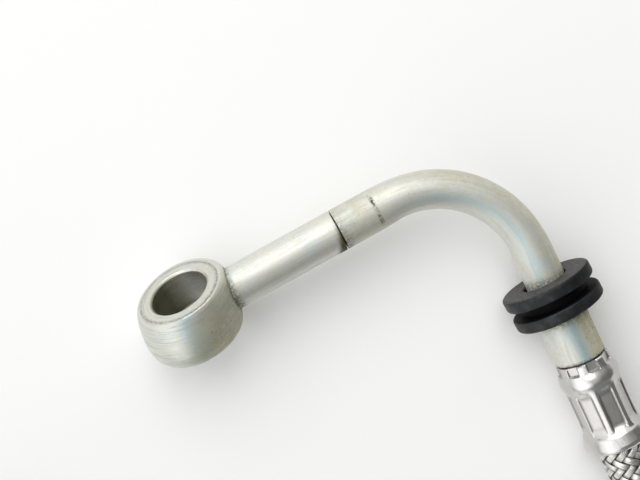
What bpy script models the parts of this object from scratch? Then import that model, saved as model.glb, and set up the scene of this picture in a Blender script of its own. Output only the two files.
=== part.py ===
"""Oil hose of a motorcycle.

A plated banjo eye is brazed on a bent steel tube. The tube carries a rubber grommet and ends
in a collar, on which a crimped ferrule holds a hose with a steel braid. The hose's other end
has the same fitting, without the bend and the grommet.

The hose lies on a bench as it came off the machine: it touches the bench with the eye, with
the grommet's lower edge and with the ferrule's mouth, and these three set its slopes.
Sizes are in metres; mm keeps them readable.
"""
import math

import bmesh
import bpy
from mathutils import Matrix, Vector

mm = 0.001
GAP = 0.3 * mm                    # clearance wherever two pieces touch

# Banjo eye, turned about its bore
BORE_R = 7.1 * mm                 # bore for the hollow bolt
BORE_CHAMFER = 0.5 * mm
EYE_HALF = 6.75 * mm              # half the width between the two seal faces
SEAL_R = 9.9 * mm                 # outer radius of the flat seal face
BALL_R = 12.4 * mm                # largest radius, at mid width
BALL_SQUARENESS = 2.3             # 2 is an ellipse, more is a fuller shoulder
BALL_SHIFT = (-0.7 * mm, -0.2 * mm)   # the forged side is not quite true to the bore
BALL_LEAN = (0.15, 0.25)          # more of that shift for each unit of height
OIL_GROOVE_R = 8.3 * mm           # ring groove inside the bore, which feeds the stem
OIL_GROOVE_HALF = 4.6 * mm
SOCKET_WALL = 1.3 * mm            # left between the ring groove and the stem's end
EYE_TILT = math.radians(53.2)     # bore axis away from upright, turned about the stem
EYE_AT = (-49.19 * mm, 0.77 * mm)     # plan position of the eye's centre

# Stem: the straight tube brazed into the eye, with a spigot for the bent tube
STEM_R = 5.2 * mm
STEM_BORE_R = 2.7 * mm
STEM_END = 39.7 * mm              # from the eye's centre to the joint with the bent tube
SPIGOT_LENGTH = 6.0 * mm
END_CHAMFER = 0.4 * mm

# Bent tube
TUBE_WALL = 1.3 * mm
LEG_R = 4.9 * mm                  # radius of the straight leg after the bend
BEND_RADIUS = 25.0 * mm           # of the tube's centre line
BEND_SQUEEZE = 0.94               # width in the bend's plane over the round width
SQUEEZE_RUN = 9.0 * mm            # stretch in which the squeeze comes and goes
BEND_STATIONS = 12
EYE_TO_CORNER = 80.3 * mm         # corner: where the two straight centre lines would meet
STEM_HEADING = math.radians(29.0)
LEG_HEADING = math.radians(-64.3)

# Rubber grommet on the leg
GROMMET_R = 11.35 * mm
GROMMET_FLANGE = 3.2 * mm
GROMMET_GROOVE = 2.3 * mm         # thickness of the sheet that the groove holds
GROMMET_GROOVE_R = 8.6 * mm
GROMMET_ROUND = 0.7 * mm
GROMMET_AT = 35.0 * mm            # from the corner to the grommet's upper face
GROMMET_HOLE_R = 5.55 * mm        # loose enough for the grommet to sit askew
GROMMET_SKEW = math.radians(4.2)  # turn of its axis from the leg, about the upright

# Hose nipple: a collar brazed on the tube, and a barbed tail inside the hose
COLLAR_R = 6.27 * mm
COLLAR_LENGTH = 11.55 * mm
COLLAR_CHAMFER = 0.3 * mm
TUBE_SOCKET = 9.6 * mm            # how deep the collar takes the tube
NECK_R = 4.9 * mm                 # groove that the ferrule's lip is pressed into
TAIL_R = 3.35 * mm
BARB_R = 3.7 * mm
BARB_PITCH = 4.0 * mm
BARBS = 4
BARB_FOOT, BARB_CREST, BARB_TAPER = 0.25, 0.3, 0.95   # along a barb, as shares of the pitch
TAIL_LENGTH = 19.4 * mm           # from the collar's shoulder
NIPPLE_BORE_R = 2.6 * mm

# Crimped ferrule; its stations run down from the upper edge
FERRULE_LENGTH = 22.6 * mm
LIP_R = 6.55 * mm
LIP_EDGE = 0.3 * mm               # rounding of the upper edge
LIP_THICK = 2.1 * mm              # the inward lip, along the axis
LIP_GROWTH = 0.25 * mm            # how much wider the ferrule is at the lip's lower side
BULGE_R = 7.45 * mm
BULGE_AT = 4.8 * mm
WAIST_R = 6.95 * mm
WAIST_START = 7.9 * mm
WAIST_END = 16.9 * mm
MOUTH_R = 8.28 * mm
MOUTH_AT = 21.4 * mm
MOUTH_EDGE = 0.4 * mm             # rounding of the mouth
MOUTH_WALL = 0.9 * mm
CAVITY_TOP_R = 6.1 * mm
CAVITY_TOP_END = 6.5 * mm
CAVITY_WAIST_R = 5.6 * mm
CAVITY_MOUTH_R = 6.4 * mm
CAVITY_MOUTH_AT = 19.2 * mm
FLUTES = 8                        # one for each jaw of the crimping press
FLUTE_START = 7.4 * mm
FLUTE_END = 17.2 * mm
FLUTE_WIDTH = 3.5 * mm
FLUTE_FLOOR_R = 6.35 * mm
FLUTE_CORNER = 0.7 * mm
NOTCH_WIDTH = 3.0 * mm
NOTCH_LENGTH = 2.3 * mm
NOTCH_FLOOR_R = 6.05 * mm
NOTCH_CORNER = 0.4 * mm

# Hose: a liner under a steel braid, of which each ferrule holds an end
HOSE_R = 6.0 * mm
LINER_BORE_R = 4.0 * mm
BRAID_PRESSED = 0.4 * mm          # the braid's thickness under the ferrule
HOSE_INSET = 2.2 * mm             # how far the free hose reaches into each ferrule
HOSE_BEVEL_STEPS = 4              # bevel resolution, which gives 12 sides
HOSE_STEP = 5.0 * mm
STRAIGHT_OUT = 12.0 * mm          # straight stretch at each ferrule
FALL_LENGTH = 40.0 * mm           # stretch in which the hose comes down from a mouth
ROUTE = [(71.7, -67.8), (75.4, -87.4), (72.9, -107.1), (64.2, -125.1), (50.3, -139.3),
         (32.6, -148.4), (12.9, -151.5), (-6.7, -148.1), (-24.3, -138.8)]   # plan, in mm
ROUTE_STEPS = 24

# Far end: the same fitting on a straight stem
FAR_MOUTH_AT = (-54.3 * mm, -112.7 * mm)
FAR_HEADING = math.radians(137.7)
FAR_STEM_LENGTH = 34.85 * mm      # from the far eye's centre to the collar
FAR_STEM_SHOULDER = 2.0 * mm      # from the stem's step to the collar

LARGE_STEPS = 32                  # facets round the large turned pieces
SMALL_STEPS = 24
HIDDEN_STEPS = 20
TUBE_SIDES = 20
EYE_SIDE_STEPS = 5                # rows of facets from mid width to a seal face
MERGE = 0.01 * mm
SHARP_ANGLE = math.radians(40)

# Colour, roughness and metallic of each material
PLATED_STEEL = (0.62, 0.63, 0.60), 0.32, 1.0
FERRULE_STEEL = (0.66, 0.64, 0.62), 0.22, 1.0
STEEL_BRAID = (0.42, 0.40, 0.36), 0.4, 1.0
BLACK_RUBBER = (0.022, 0.022, 0.025), 0.6, 0.0
HOSE_LINER = (0.05, 0.05, 0.05), 0.6, 0.0

# What follows from the sizes
SOCKET_FLOOR = OIL_GROOVE_R + SOCKET_WALL
GROMMET_THICK = 2 * GROMMET_FLANGE + GROMMET_GROOVE
GROMMET_END = GROMMET_AT + GROMMET_THICK              # from the corner, along the leg
COLLAR_AT = GROMMET_END + COLLAR_R * math.sin(GROMMET_SKEW) + GAP
SHOULDER_AT = COLLAR_AT + COLLAR_LENGTH
FERRULE_AT = SHOULDER_AT + GAP
LEG_FALL = math.atan((GROMMET_R - MOUTH_R)
                     / (FERRULE_AT + MOUTH_AT - (GROMMET_END - GROMMET_ROUND)))
FAR_REACH = MOUTH_AT + GAP + COLLAR_LENGTH + FAR_STEM_LENGTH      # mouth ring to far eye
FAR_FALL = math.atan((MOUTH_R - EYE_HALF) / (FAR_REACH + SEAL_R))


def heading_vector(heading, fall):
    """Unit vector along a plan heading that falls by an angle."""
    return Vector((math.cos(fall) * math.cos(heading),
                   math.cos(fall) * math.sin(heading),
                   -math.sin(fall)))


def clear_scene():
    for thing in list(bpy.data.objects):
        bpy.data.objects.remove(thing, do_unlink=True)


def new_collection(name):
    group = bpy.data.collections.new(name)
    bpy.context.scene.collection.children.link(group)
    return group


def new_material(name, colour, roughness, metallic):
    material = bpy.data.materials.new(name)
    material.use_nodes = True
    shader = material.node_tree.nodes["Principled BSDF"]
    shader.inputs["Base Color"].default_value = (*colour, 1.0)
    shader.inputs["Roughness"].default_value = roughness
    shader.inputs["Metallic"].default_value = metallic
    return material


def axis_frame(origin, z_axis, x_hint):
    """Matrix whose Z runs along z_axis and whose X is as near x_hint as it can be."""
    z = Vector(z_axis).normalized()
    y = z.cross(Vector(x_hint)).normalized()
    x = y.cross(z)
    return Matrix.Translation(Vector(origin)) @ Matrix((x, y, z)).transposed().to_4x4()


def add_object(name, mesh, group, frame, material=None):
    piece = bpy.data.objects.new(name, mesh)
    group.objects.link(piece)
    piece.matrix_world = frame
    if material:
        mesh.materials.append(material)
    return piece


def add_turned(name, outline, group, frame, material, steps):
    """Turn a closed outline of (radius, height) points about Z.

    The outline runs from top to bottom on its outer side and back up on its inner side.
    """
    mesh = bpy.data.meshes.new(name)
    shape = bmesh.new()
    points = [shape.verts.new((radius, 0.0, height)) for radius, height in outline]
    for start, end in zip(points, points[1:] + points[:1]):
        shape.edges.new((start, end))
    shape.to_mesh(mesh)
    shape.free()
    piece = add_object(name, mesh, group, frame, material)
    screw = piece.modifiers.new("turn", "SCREW")
    screw.axis = "Z"
    screw.angle = 2 * math.pi
    screw.steps = steps
    screw.render_steps = steps
    screw.use_merge_vertices = True
    screw.merge_threshold = MERGE
    screw.use_smooth_shade = True
    return piece


def add_loft(name, rings, group, frame, material):
    """Closed skin from each ring of points to the next, and from the last to the first."""
    shape = bmesh.new()
    sections = [[shape.verts.new(point) for point in ring] for ring in rings]
    for first, second in zip(sections, sections[1:] + sections[:1]):
        for side in range(len(first)):
            after = (side + 1) % len(first)
            shape.faces.new((first[side], first[after], second[after], second[side]))
    bmesh.ops.recalc_face_normals(shape, faces=shape.faces)
    mesh = bpy.data.meshes.new(name)
    shape.to_mesh(mesh)
    shape.free()
    mesh.shade_smooth()
    mesh.set_sharp_from_angle(angle=SHARP_ANGLE)
    return add_object(name, mesh, group, frame, material)


def smooth_line(points, spans):
    """Points on a smooth curve through the given ones, spans of them between each pair."""
    ends = [2 * points[0] - points[1]] + points + [2 * points[-1] - points[-2]]
    line = []
    for before, start, end, after in zip(ends, ends[1:], ends[2:], ends[3:]):
        for step in range(spans):
            t = step / spans
            line.append(0.5 * (2 * start + (end - before) * t
                               + (2 * before - 5 * start + 4 * end - after) * t ** 2
                               + (3 * start - before - 3 * end + after) * t ** 3))
    line.append(points[-1])
    return line


def cut(piece, cutter):
    """Take the cutter, whose place is given in the piece's own frame, from the piece."""
    cutter.matrix_world = piece.matrix_world @ cutter.matrix_world
    cutter.hide_render = True
    cutter.display_type = "WIRE"
    cutting = piece.modifiers.new("cut " + cutter.name, "BOOLEAN")
    cutting.operation = "DIFFERENCE"
    cutting.solver = "EXACT"
    cutting.object = cutter


def add_round_cutter(name, radius, start, end, group):
    """A round cutter along X, from one distance to another."""
    mesh = bpy.data.meshes.new(name)
    shape = bmesh.new()
    bmesh.ops.create_cone(shape, cap_ends=True, segments=SMALL_STEPS, radius1=radius,
                          radius2=radius, depth=end - start)
    shape.to_mesh(mesh)
    shape.free()
    frame = axis_frame(((start + end) / 2, 0.0, 0.0), (1.0, 0.0, 0.0), (0.0, 0.0, 1.0))
    return add_object(name, mesh, group, frame)


def add_jaw_cutter(name, width, low, high, floor_radius, corner, group):
    """Blocks with rounded corners round Z, one for each jaw of the crimping press."""
    reach = MOUTH_R
    shape = bmesh.new()
    bmesh.ops.create_cube(shape, size=1.0)
    bmesh.ops.scale(shape, verts=shape.verts, vec=(reach, width, high - low))
    bmesh.ops.translate(shape, verts=shape.verts,
                        vec=(floor_radius + reach / 2, 0.0, (low + high) / 2))
    radial = [edge for edge in shape.edges
              if abs(edge.verts[0].co.x - edge.verts[1].co.x) > reach / 2]
    bmesh.ops.bevel(shape, geom=radial, offset=corner, segments=2, profile=0.5,
                    affect="EDGES")
    block = bpy.data.meshes.new(name + "_block")
    shape.to_mesh(block)
    shape.clear()
    for index in range(FLUTES):
        known = len(shape.verts)
        shape.from_mesh(block)
        shape.verts.ensure_lookup_table()
        turn = Matrix.Rotation(2 * math.pi * index / FLUTES, 3, "Z")
        bmesh.ops.rotate(shape, verts=shape.verts[known:], matrix=turn)
    mesh = bpy.data.meshes.new(name)
    shape.to_mesh(mesh)
    shape.free()
    bpy.data.meshes.remove(block)
    return add_object(name, mesh, group, Matrix.Identity(4))


def eye_side():
    """The eye's rounded side from the upper seal face to the lower one.

    Each ring is its radius, its height and how far its middle is from the bore's axis. The
    first and last rings bound the machined seal faces, which are true to the bore.
    """
    side = []
    for step in range(-EYE_SIDE_STEPS, EYE_SIDE_STEPS + 1):
        share = math.sin(step / EYE_SIDE_STEPS * math.pi / 2)
        fullness = (1 - abs(share) ** BALL_SQUARENESS) ** (1 / BALL_SQUARENESS)
        height = -share * EYE_HALF
        shift = Vector([(start + lean * height) * fullness
                        for start, lean in zip(BALL_SHIFT, BALL_LEAN)])
        side.append((SEAL_R + (BALL_R - SEAL_R) * fullness, height, shift))
    return side


def eye_rings():
    """Rings of the eye's side and then, from its lower face, of its bore and ring groove."""
    inner_half = [(OIL_GROOVE_R, OIL_GROOVE_HALF - (OIL_GROOVE_R - BORE_R) / 2),
                  (BORE_R, OIL_GROOVE_HALF),
                  (BORE_R, EYE_HALF - BORE_CHAMFER),
                  (BORE_R + BORE_CHAMFER, EYE_HALF)]
    lower = [(radius, -height) for radius, height in reversed(inner_half)]
    true = Vector((0.0, 0.0))
    rings = []
    for radius, height, shift in eye_side() + [(*ring, true) for ring in lower + inner_half]:
        angles = [2 * math.pi * step / LARGE_STEPS for step in range(LARGE_STEPS)]
        rings.append([(shift.x + radius * math.cos(angle), shift.y + radius * math.sin(angle),
                       height) for angle in angles])
    return rings


def eye_reach(tilt):
    """Height of the eye's centre over the bench that it rests on, at a tilt of its bore."""
    return max((radius + shift.y) * math.sin(tilt) - height * math.cos(tilt)
               for radius, height, shift in eye_side())


def add_eye(name, frame, parts, cutters):
    """Eye in a frame whose Z is the bore and whose X points at the stem."""
    steel = new_material(name, *PLATED_STEEL)
    eye = add_loft(name, eye_rings(), parts, frame, steel)
    cut(eye, add_round_cutter(name + "_socket", STEM_R + GAP, SOCKET_FLOOR, 2 * BALL_R,
                              cutters))
    cut(eye, add_round_cutter(name + "_passage", STEM_BORE_R, BORE_R / 2,
                              SOCKET_FLOOR + SOCKET_WALL, cutters))
    return eye


def add_stem(name, length, tip_radius, tip_length, frame, parts):
    """Stem in a frame at the eye's centre, with Z along it; its tip is the thinner end."""
    foot = SOCKET_FLOOR + GAP
    tip = length + tip_length
    outline = [(tip_radius - END_CHAMFER, tip),
               (tip_radius, tip - END_CHAMFER),
               (tip_radius, length),
               (STEM_R, length),
               (STEM_R, foot + END_CHAMFER),
               (STEM_R - END_CHAMFER, foot),
               (STEM_BORE_R, foot),
               (STEM_BORE_R, tip)]
    steel = new_material(name, *PLATED_STEEL)
    return add_turned(name, outline, parts, frame, steel, SMALL_STEPS)


def bent_tube_stations(turn):
    """Centre, heading and squeeze along the tube, in the plane of the bend.

    The stem comes in along X and the corner is the origin.
    """
    tangent = BEND_RADIUS * math.tan(turn / 2)
    start = -(EYE_TO_CORNER - STEM_END) + GAP
    end = COLLAR_AT + TUBE_SOCKET - GAP
    leg = Vector((math.cos(turn), -math.sin(turn)))
    stations = [(Vector((start, 0.0)), 0.0, 0.0)]
    stations.append((Vector((-tangent - SQUEEZE_RUN / 2, 0.0)), 0.0, 0.0))
    for step in range(BEND_STATIONS + 1):
        angle = turn * step / BEND_STATIONS
        centre = Vector((-tangent + BEND_RADIUS * math.sin(angle),
                         -BEND_RADIUS * (1 - math.cos(angle))))
        near_end = min(step, BEND_STATIONS - step) * BEND_RADIUS * turn / BEND_STATIONS
        stations.append((centre, angle, min(1.0, 0.5 + near_end / SQUEEZE_RUN)))
    stations.append((leg * (tangent + SQUEEZE_RUN / 2), turn, 0.0))
    stations.append((leg * end, turn, 0.0))
    return stations


def add_bent_tube(name, frame, turn, parts):
    """Loft of the tube, whose section is squeezed in the bend; Z is the bend's axis."""
    stations = bent_tube_stations(turn)
    lengths = [0.0]
    for (here, _, _), (there, _, _) in zip(stations, stations[1:]):
        lengths.append(lengths[-1] + (there - here).length)
    outer, inner = [], []
    for (centre, heading, squeezed), length in zip(stations, lengths):
        radius = STEM_R + (LEG_R - STEM_R) * length / lengths[-1]
        loss = radius * (1 - BEND_SQUEEZE) * squeezed
        across = Vector((math.sin(heading), math.cos(heading)))
        for wall, rings in ((0.0, outer), (TUBE_WALL, inner)):
            ring = []
            for side in range(TUBE_SIDES):
                angle = 2 * math.pi * side / TUBE_SIDES
                in_plane = centre + across * (radius - loss - wall) * math.cos(angle)
                height = (radius + loss / 2 - wall) * math.sin(angle)
                ring.append((in_plane.x, in_plane.y, height))
            rings.append(ring)
    steel = new_material(name, *PLATED_STEEL)
    return add_loft(name, outer + inner[::-1], parts, frame, steel)


def rounded_flange(top, bottom):
    """Outer side of one grommet flange, from its upper face to its lower one."""
    inner = GROMMET_R - GROMMET_ROUND
    side = []
    for centre, start in ((top - GROMMET_ROUND, math.pi / 2), (bottom + GROMMET_ROUND, 0.0)):
        for step in range(3):
            angle = start - step * math.pi / 4
            side.append((inner + GROMMET_ROUND * math.cos(angle),
                         centre + GROMMET_ROUND * math.sin(angle)))
    return side


def add_grommet(frame, parts):
    """Grommet in a frame at its middle, with Z along the tube."""
    half = GROMMET_THICK / 2
    groove = GROMMET_GROOVE / 2
    outline = (rounded_flange(half, groove)
               + [(GROMMET_GROOVE_R, groove), (GROMMET_GROOVE_R, -groove)]
               + rounded_flange(-groove, -half)
               + [(GROMMET_HOLE_R, -half), (GROMMET_HOLE_R, half)])
    rubber = new_material("rubber_grommet", *BLACK_RUBBER)
    return add_turned("rubber_grommet", outline, parts, frame, rubber, LARGE_STEPS)


def add_nipple(name, frame, parts):
    """Collar above the shoulder at the origin, barbed tail below it."""
    neck = LIP_THICK + 2 * GAP
    socket = LEG_R + GAP
    outline = [(COLLAR_R - COLLAR_CHAMFER, COLLAR_LENGTH),
               (COLLAR_R, COLLAR_LENGTH - COLLAR_CHAMFER),
               (COLLAR_R, COLLAR_CHAMFER),
               (COLLAR_R - COLLAR_CHAMFER, 0.0),
               (NECK_R, 0.0),
               (NECK_R, -neck),
               (TAIL_R, -neck)]
    for index in range(BARBS):
        top = -neck - BARB_PITCH * index
        outline += [(TAIL_R, top - BARB_PITCH * BARB_FOOT),
                    (BARB_R, top - BARB_PITCH * BARB_CREST),
                    (TAIL_R, top - BARB_PITCH * BARB_TAPER)]
    outline += [(TAIL_R - END_CHAMFER, -TAIL_LENGTH),
                (NIPPLE_BORE_R, -TAIL_LENGTH),
                (NIPPLE_BORE_R, COLLAR_LENGTH - TUBE_SOCKET),
                (socket, COLLAR_LENGTH - TUBE_SOCKET),
                (socket, COLLAR_LENGTH)]
    steel = new_material(name, *PLATED_STEEL)
    return add_turned(name, outline, parts, frame, steel, HIDDEN_STEPS)


def cavity_outline():
    """Inner wall of the ferrule below its lip, as (radius, station) points."""
    return [(CAVITY_TOP_R, LIP_THICK),
            (CAVITY_TOP_R, CAVITY_TOP_END),
            (CAVITY_WAIST_R, WAIST_START),
            (CAVITY_WAIST_R, WAIST_END),
            (CAVITY_MOUTH_R, CAVITY_MOUTH_AT)]


def add_ferrule(name, frame, parts, cutters):
    """Ferrule with its upper edge at the origin and its mouth below."""
    stations = [(LIP_R, LIP_EDGE), (LIP_R + LIP_GROWTH, LIP_THICK), (BULGE_R, BULGE_AT),
                (WAIST_R, WAIST_START), (WAIST_R, WAIST_END),
                ((WAIST_R + MOUTH_R) / 2, (WAIST_END + MOUTH_AT) / 2),
                (MOUTH_R, MOUTH_AT)]
    outer = smooth_line([Vector(point) for point in stations], 2)
    side = [(LIP_R - LIP_EDGE, 0.0)] + [tuple(point) for point in outer]
    side += [(MOUTH_R - MOUTH_EDGE / 4, FERRULE_LENGTH - MOUTH_EDGE),
             (MOUTH_R - MOUTH_EDGE, FERRULE_LENGTH),
             (MOUTH_R - MOUTH_WALL, FERRULE_LENGTH)]
    lip_hole = NECK_R + GAP
    inner = list(reversed(cavity_outline())) + [(lip_hole, LIP_THICK), (lip_hole, 0.0)]
    outline = [(radius, -station) for radius, station in side + inner]
    steel = new_material(name, *FERRULE_STEEL)
    ferrule = add_turned(name, outline, parts, frame, steel, LARGE_STEPS)
    cut(ferrule, add_jaw_cutter(name + "_flutes", FLUTE_WIDTH, -FLUTE_END, -FLUTE_START,
                                FLUTE_FLOOR_R, FLUTE_CORNER, cutters))
    cut(ferrule, add_jaw_cutter(name + "_notches", NOTCH_WIDTH, -NOTCH_LENGTH, NOTCH_LENGTH,
                                NOTCH_FLOOR_R, NOTCH_CORNER, cutters))
    return ferrule


def sleeve_outline(outer_inset, inner_radius, inner_inset):
    """Outline of a sleeve that lies under the ferrule's inner wall.

    The insets are measured inwards from that wall. With no inner_inset the bore is straight.
    """
    wall = cavity_outline()
    top = LIP_THICK + GAP
    bottom = FERRULE_LENGTH - HOSE_INSET - GAP
    wall[0] = (wall[0][0], top)
    wall[-1] = (wall[-1][0], bottom)
    outer = [(radius - outer_inset, -station) for radius, station in wall]
    if inner_inset is None:
        return outer + [(inner_radius, -bottom), (inner_radius, -top)]
    return outer + [(radius - inner_inset, -station) for radius, station in reversed(wall)]


def add_hose_end(prefix, frame, parts):
    """The hose's liner and braid where the ferrule presses them on the nipple's tail."""
    braid_inset = GAP + BRAID_PRESSED
    braid = new_material(prefix + "braid_end", *STEEL_BRAID)
    liner = new_material(prefix + "liner_end", *HOSE_LINER)
    add_turned(prefix + "braid_end", sleeve_outline(GAP, None, braid_inset), parts, frame,
               braid, HIDDEN_STEPS)
    add_turned(prefix + "liner_end", sleeve_outline(braid_inset + GAP, LINER_BORE_R, None),
               parts, frame, liner, HIDDEN_STEPS)


def add_hose_fitting(prefix, shoulder, up, parts, cutters):
    """Nipple, ferrule and pressed hose end; up points from the hose to the tube."""
    x_hint = Vector((0.0, 0.0, 1.0))
    ferrule_frame = axis_frame(shoulder - up * GAP, up, x_hint)
    add_nipple(prefix + "hose_nipple", axis_frame(shoulder, up, x_hint), parts)
    add_ferrule(prefix + "crimp_ferrule", ferrule_frame, parts, cutters)
    add_hose_end(prefix, ferrule_frame, parts)


def fall_height(start_height, start_slope, run):
    """Height of the hose's centre at a run from a mouth, until it lies on the bench."""
    t = min(run / FALL_LENGTH, 1.0)
    return (start_height * (2 * t ** 3 - 3 * t ** 2 + 1)
            + start_slope * FALL_LENGTH * (t ** 3 - 2 * t ** 2 + t)
            + HOSE_R * (3 * t ** 2 - 2 * t ** 3))


def hose_line(near, near_out, far, far_out):
    """Evenly spaced points of the free hose between its two places in the ferrules."""
    plan = [near.xy, near.xy + near_out.xy * STRAIGHT_OUT]
    plan += [Vector(point) * mm for point in ROUTE]
    plan += [far.xy + far_out.xy * STRAIGHT_OUT, far.xy]
    fine = smooth_line(plan, ROUTE_STEPS)
    runs = [0.0]
    for here, there in zip(fine, fine[1:]):
        runs.append(runs[-1] + (there - here).length)
    count = round(runs[-1] / HOSE_STEP)
    line = []
    for index in range(count + 1):
        run = runs[-1] * index / count
        after = next((k for k, value in enumerate(runs) if value >= run), len(runs) - 1)
        after = max(after, 1)
        share = (run - runs[after - 1]) / (runs[after] - runs[after - 1])
        point = fine[after - 1].lerp(fine[after], share)
        if run < runs[-1] / 2:
            height = fall_height(near.z, near_out.z, run)
        else:
            height = fall_height(far.z, far_out.z, runs[-1] - run)
        line.append((point.x, point.y, height))
    return line


def add_hose(line, parts):
    """Free hose as one round tube along the line."""
    curve = bpy.data.curves.new("braided_hose", "CURVE")
    curve.dimensions = "3D"
    curve.bevel_depth = HOSE_R
    curve.bevel_resolution = HOSE_BEVEL_STEPS
    curve.use_fill_caps = True
    spline = curve.splines.new("POLY")
    spline.points.add(len(line) - 1)
    for point, place in zip(spline.points, line):
        point.co = (*place, 1.0)
    hose = bpy.data.objects.new("braided_hose", curve)
    parts.objects.link(hose)
    curve.materials.append(new_material("braided_hose", *STEEL_BRAID))
    return hose


def build():
    clear_scene()
    parts = new_collection("oil_hose")
    cutters = new_collection("cutters")
    up = Vector((0.0, 0.0, 1.0))

    # The leg's slope is set by the grommet and the mouth, the stem's by the eye
    leg = heading_vector(LEG_HEADING, LEG_FALL)
    mouth_ring = FERRULE_AT + MOUTH_AT
    corner_height = MOUTH_R * math.cos(LEG_FALL) + mouth_ring * math.sin(LEG_FALL)
    eye_height = eye_reach(EYE_TILT)
    rise = math.asin((corner_height - eye_height) / EYE_TO_CORNER)
    stem = heading_vector(STEM_HEADING, -rise)
    eye_centre = Vector((*EYE_AT, eye_height))
    corner = eye_centre + stem * EYE_TO_CORNER

    # Near end
    upright = (up - stem * up.dot(stem)).normalized()
    bore = upright * math.cos(EYE_TILT) + upright.cross(stem) * math.sin(EYE_TILT)
    add_eye("banjo_eye", axis_frame(eye_centre, bore, stem), parts, cutters)
    spigot_r = STEM_R - TUBE_WALL - GAP
    add_stem("eye_stem", STEM_END, spigot_r, SPIGOT_LENGTH, axis_frame(eye_centre, stem, up),
             parts)
    bend_axis = leg.cross(stem).normalized()
    add_bent_tube("bent_tube", axis_frame(corner, bend_axis, stem), stem.angle(leg), parts)
    grommet_middle = corner + leg * (GROMMET_AT + GROMMET_THICK / 2)
    askew = Matrix.Rotation(GROMMET_SKEW, 3, "Z") @ leg
    add_grommet(axis_frame(grommet_middle, -askew, up), parts)
    add_hose_fitting("", corner + leg * SHOULDER_AT, -leg, parts, cutters)

    # Far end, which lies on its mouth and on the eye's seal face
    away = heading_vector(FAR_HEADING, FAR_FALL)
    past_ring = FERRULE_LENGTH - MOUTH_AT
    far_height = MOUTH_R * math.cos(FAR_FALL) + past_ring * math.sin(FAR_FALL)
    far_mouth = Vector((*FAR_MOUTH_AT, far_height))
    far_shoulder = far_mouth + away * (FERRULE_LENGTH + GAP)
    far_eye = far_shoulder + away * (COLLAR_LENGTH + FAR_STEM_LENGTH)
    add_hose_fitting("far_", far_shoulder, away, parts, cutters)
    add_stem("far_stem", FAR_STEM_LENGTH - FAR_STEM_SHOULDER, LEG_R,
             FAR_STEM_SHOULDER + TUBE_SOCKET - GAP, axis_frame(far_eye, -away, up), parts)
    far_bore = (up - away * up.dot(away)).normalized()
    add_eye("far_banjo_eye", axis_frame(far_eye, far_bore, -away), parts, cutters)

    # Free hose between the two mouths
    near_mouth = corner + leg * (FERRULE_AT + FERRULE_LENGTH)
    line = hose_line(near_mouth - leg * HOSE_INSET, leg, far_mouth + away * HOSE_INSET, -away)
    add_hose(line, parts)


build()
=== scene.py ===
# %% [markdown]
# # The oil hose of a motorcycle
#
# A plated banjo eye is brazed on a bent steel tube. The tube carries a rubber grommet and ends in
# a collar, on which a crimped ferrule holds a hose with a steel braid. This notebook dresses the
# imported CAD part. The CAD solids have coarse facets, so each piece that shows is made again here
# with fine facets, in the same place and of the same form, and then gets its finish.

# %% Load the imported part
import math

import bmesh
import bpy
import numpy as np
from mathutils import Matrix, Vector


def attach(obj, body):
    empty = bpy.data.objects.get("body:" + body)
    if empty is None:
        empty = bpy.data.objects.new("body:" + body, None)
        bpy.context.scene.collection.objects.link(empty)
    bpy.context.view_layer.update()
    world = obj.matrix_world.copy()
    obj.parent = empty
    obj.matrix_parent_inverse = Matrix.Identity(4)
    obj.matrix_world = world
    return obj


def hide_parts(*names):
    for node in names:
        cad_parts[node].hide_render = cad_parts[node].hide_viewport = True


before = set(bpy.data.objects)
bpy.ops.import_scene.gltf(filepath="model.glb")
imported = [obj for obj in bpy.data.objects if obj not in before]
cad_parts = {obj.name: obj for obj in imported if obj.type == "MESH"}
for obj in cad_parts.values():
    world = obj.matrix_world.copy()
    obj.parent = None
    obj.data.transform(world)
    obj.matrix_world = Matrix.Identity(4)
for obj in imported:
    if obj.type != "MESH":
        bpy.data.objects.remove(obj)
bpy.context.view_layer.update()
mm = 0.001
print("CAD nodes:", ", ".join(sorted(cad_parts)))

# %% [markdown]
# ## The camera
#
# The photograph was taken from above, nearly straight down. A fit of the eye's round bore, which
# shows as an ellipse, gives the camera's place. A lens is set in millimetres on a sensor, so the
# focal length in pixels is scaled by the sensor's width over the picture's width.

# %% Camera at the photograph's angle
PHOTO_WIDTH = 640
FOCAL_PIXELS = 900
SENSOR_WIDTH = 36.0
CAMERA_AT = (-29.53 * mm, 7.51 * mm, 228.0 * mm)
CAMERA_RIGHT = (0.99873, 0.0, 0.05040)
CAMERA_UP = (-0.00238, 0.99887, 0.04710)


def turn_from_axes(x_axis, y_axis, z_axis):
    """Turning matrix whose columns are three axes."""
    return Matrix((x_axis, y_axis, z_axis)).transposed().to_4x4()


def show(name, data):
    """A new object in the scene."""
    made = bpy.data.objects.new(name, data)
    bpy.context.scene.collection.objects.link(made)
    return made


lens = bpy.data.cameras.new("photo_camera")
lens.sensor_width = SENSOR_WIDTH
lens.lens = SENSOR_WIDTH * FOCAL_PIXELS / PHOTO_WIDTH
lens.clip_start = 0.01
camera = show("photo_camera", lens)
right, up = Vector(CAMERA_RIGHT), Vector(CAMERA_UP)
camera.matrix_world = (Matrix.Translation(CAMERA_AT)
                       @ turn_from_axes(right, up, right.cross(up)))
bpy.context.scene.camera = camera
print(f"lens {lens.lens:.1f} mm")

# %% [markdown]
# ## Places of the pieces
#
# Each piece is made in a frame of its own, with Z along its axis, and is then moved to its place
# on the part. These frames are the CAD model's: the eye's centre and bore, the stem's way to the
# corner of the bend, and the leg's way from the corner to the hose.

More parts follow.
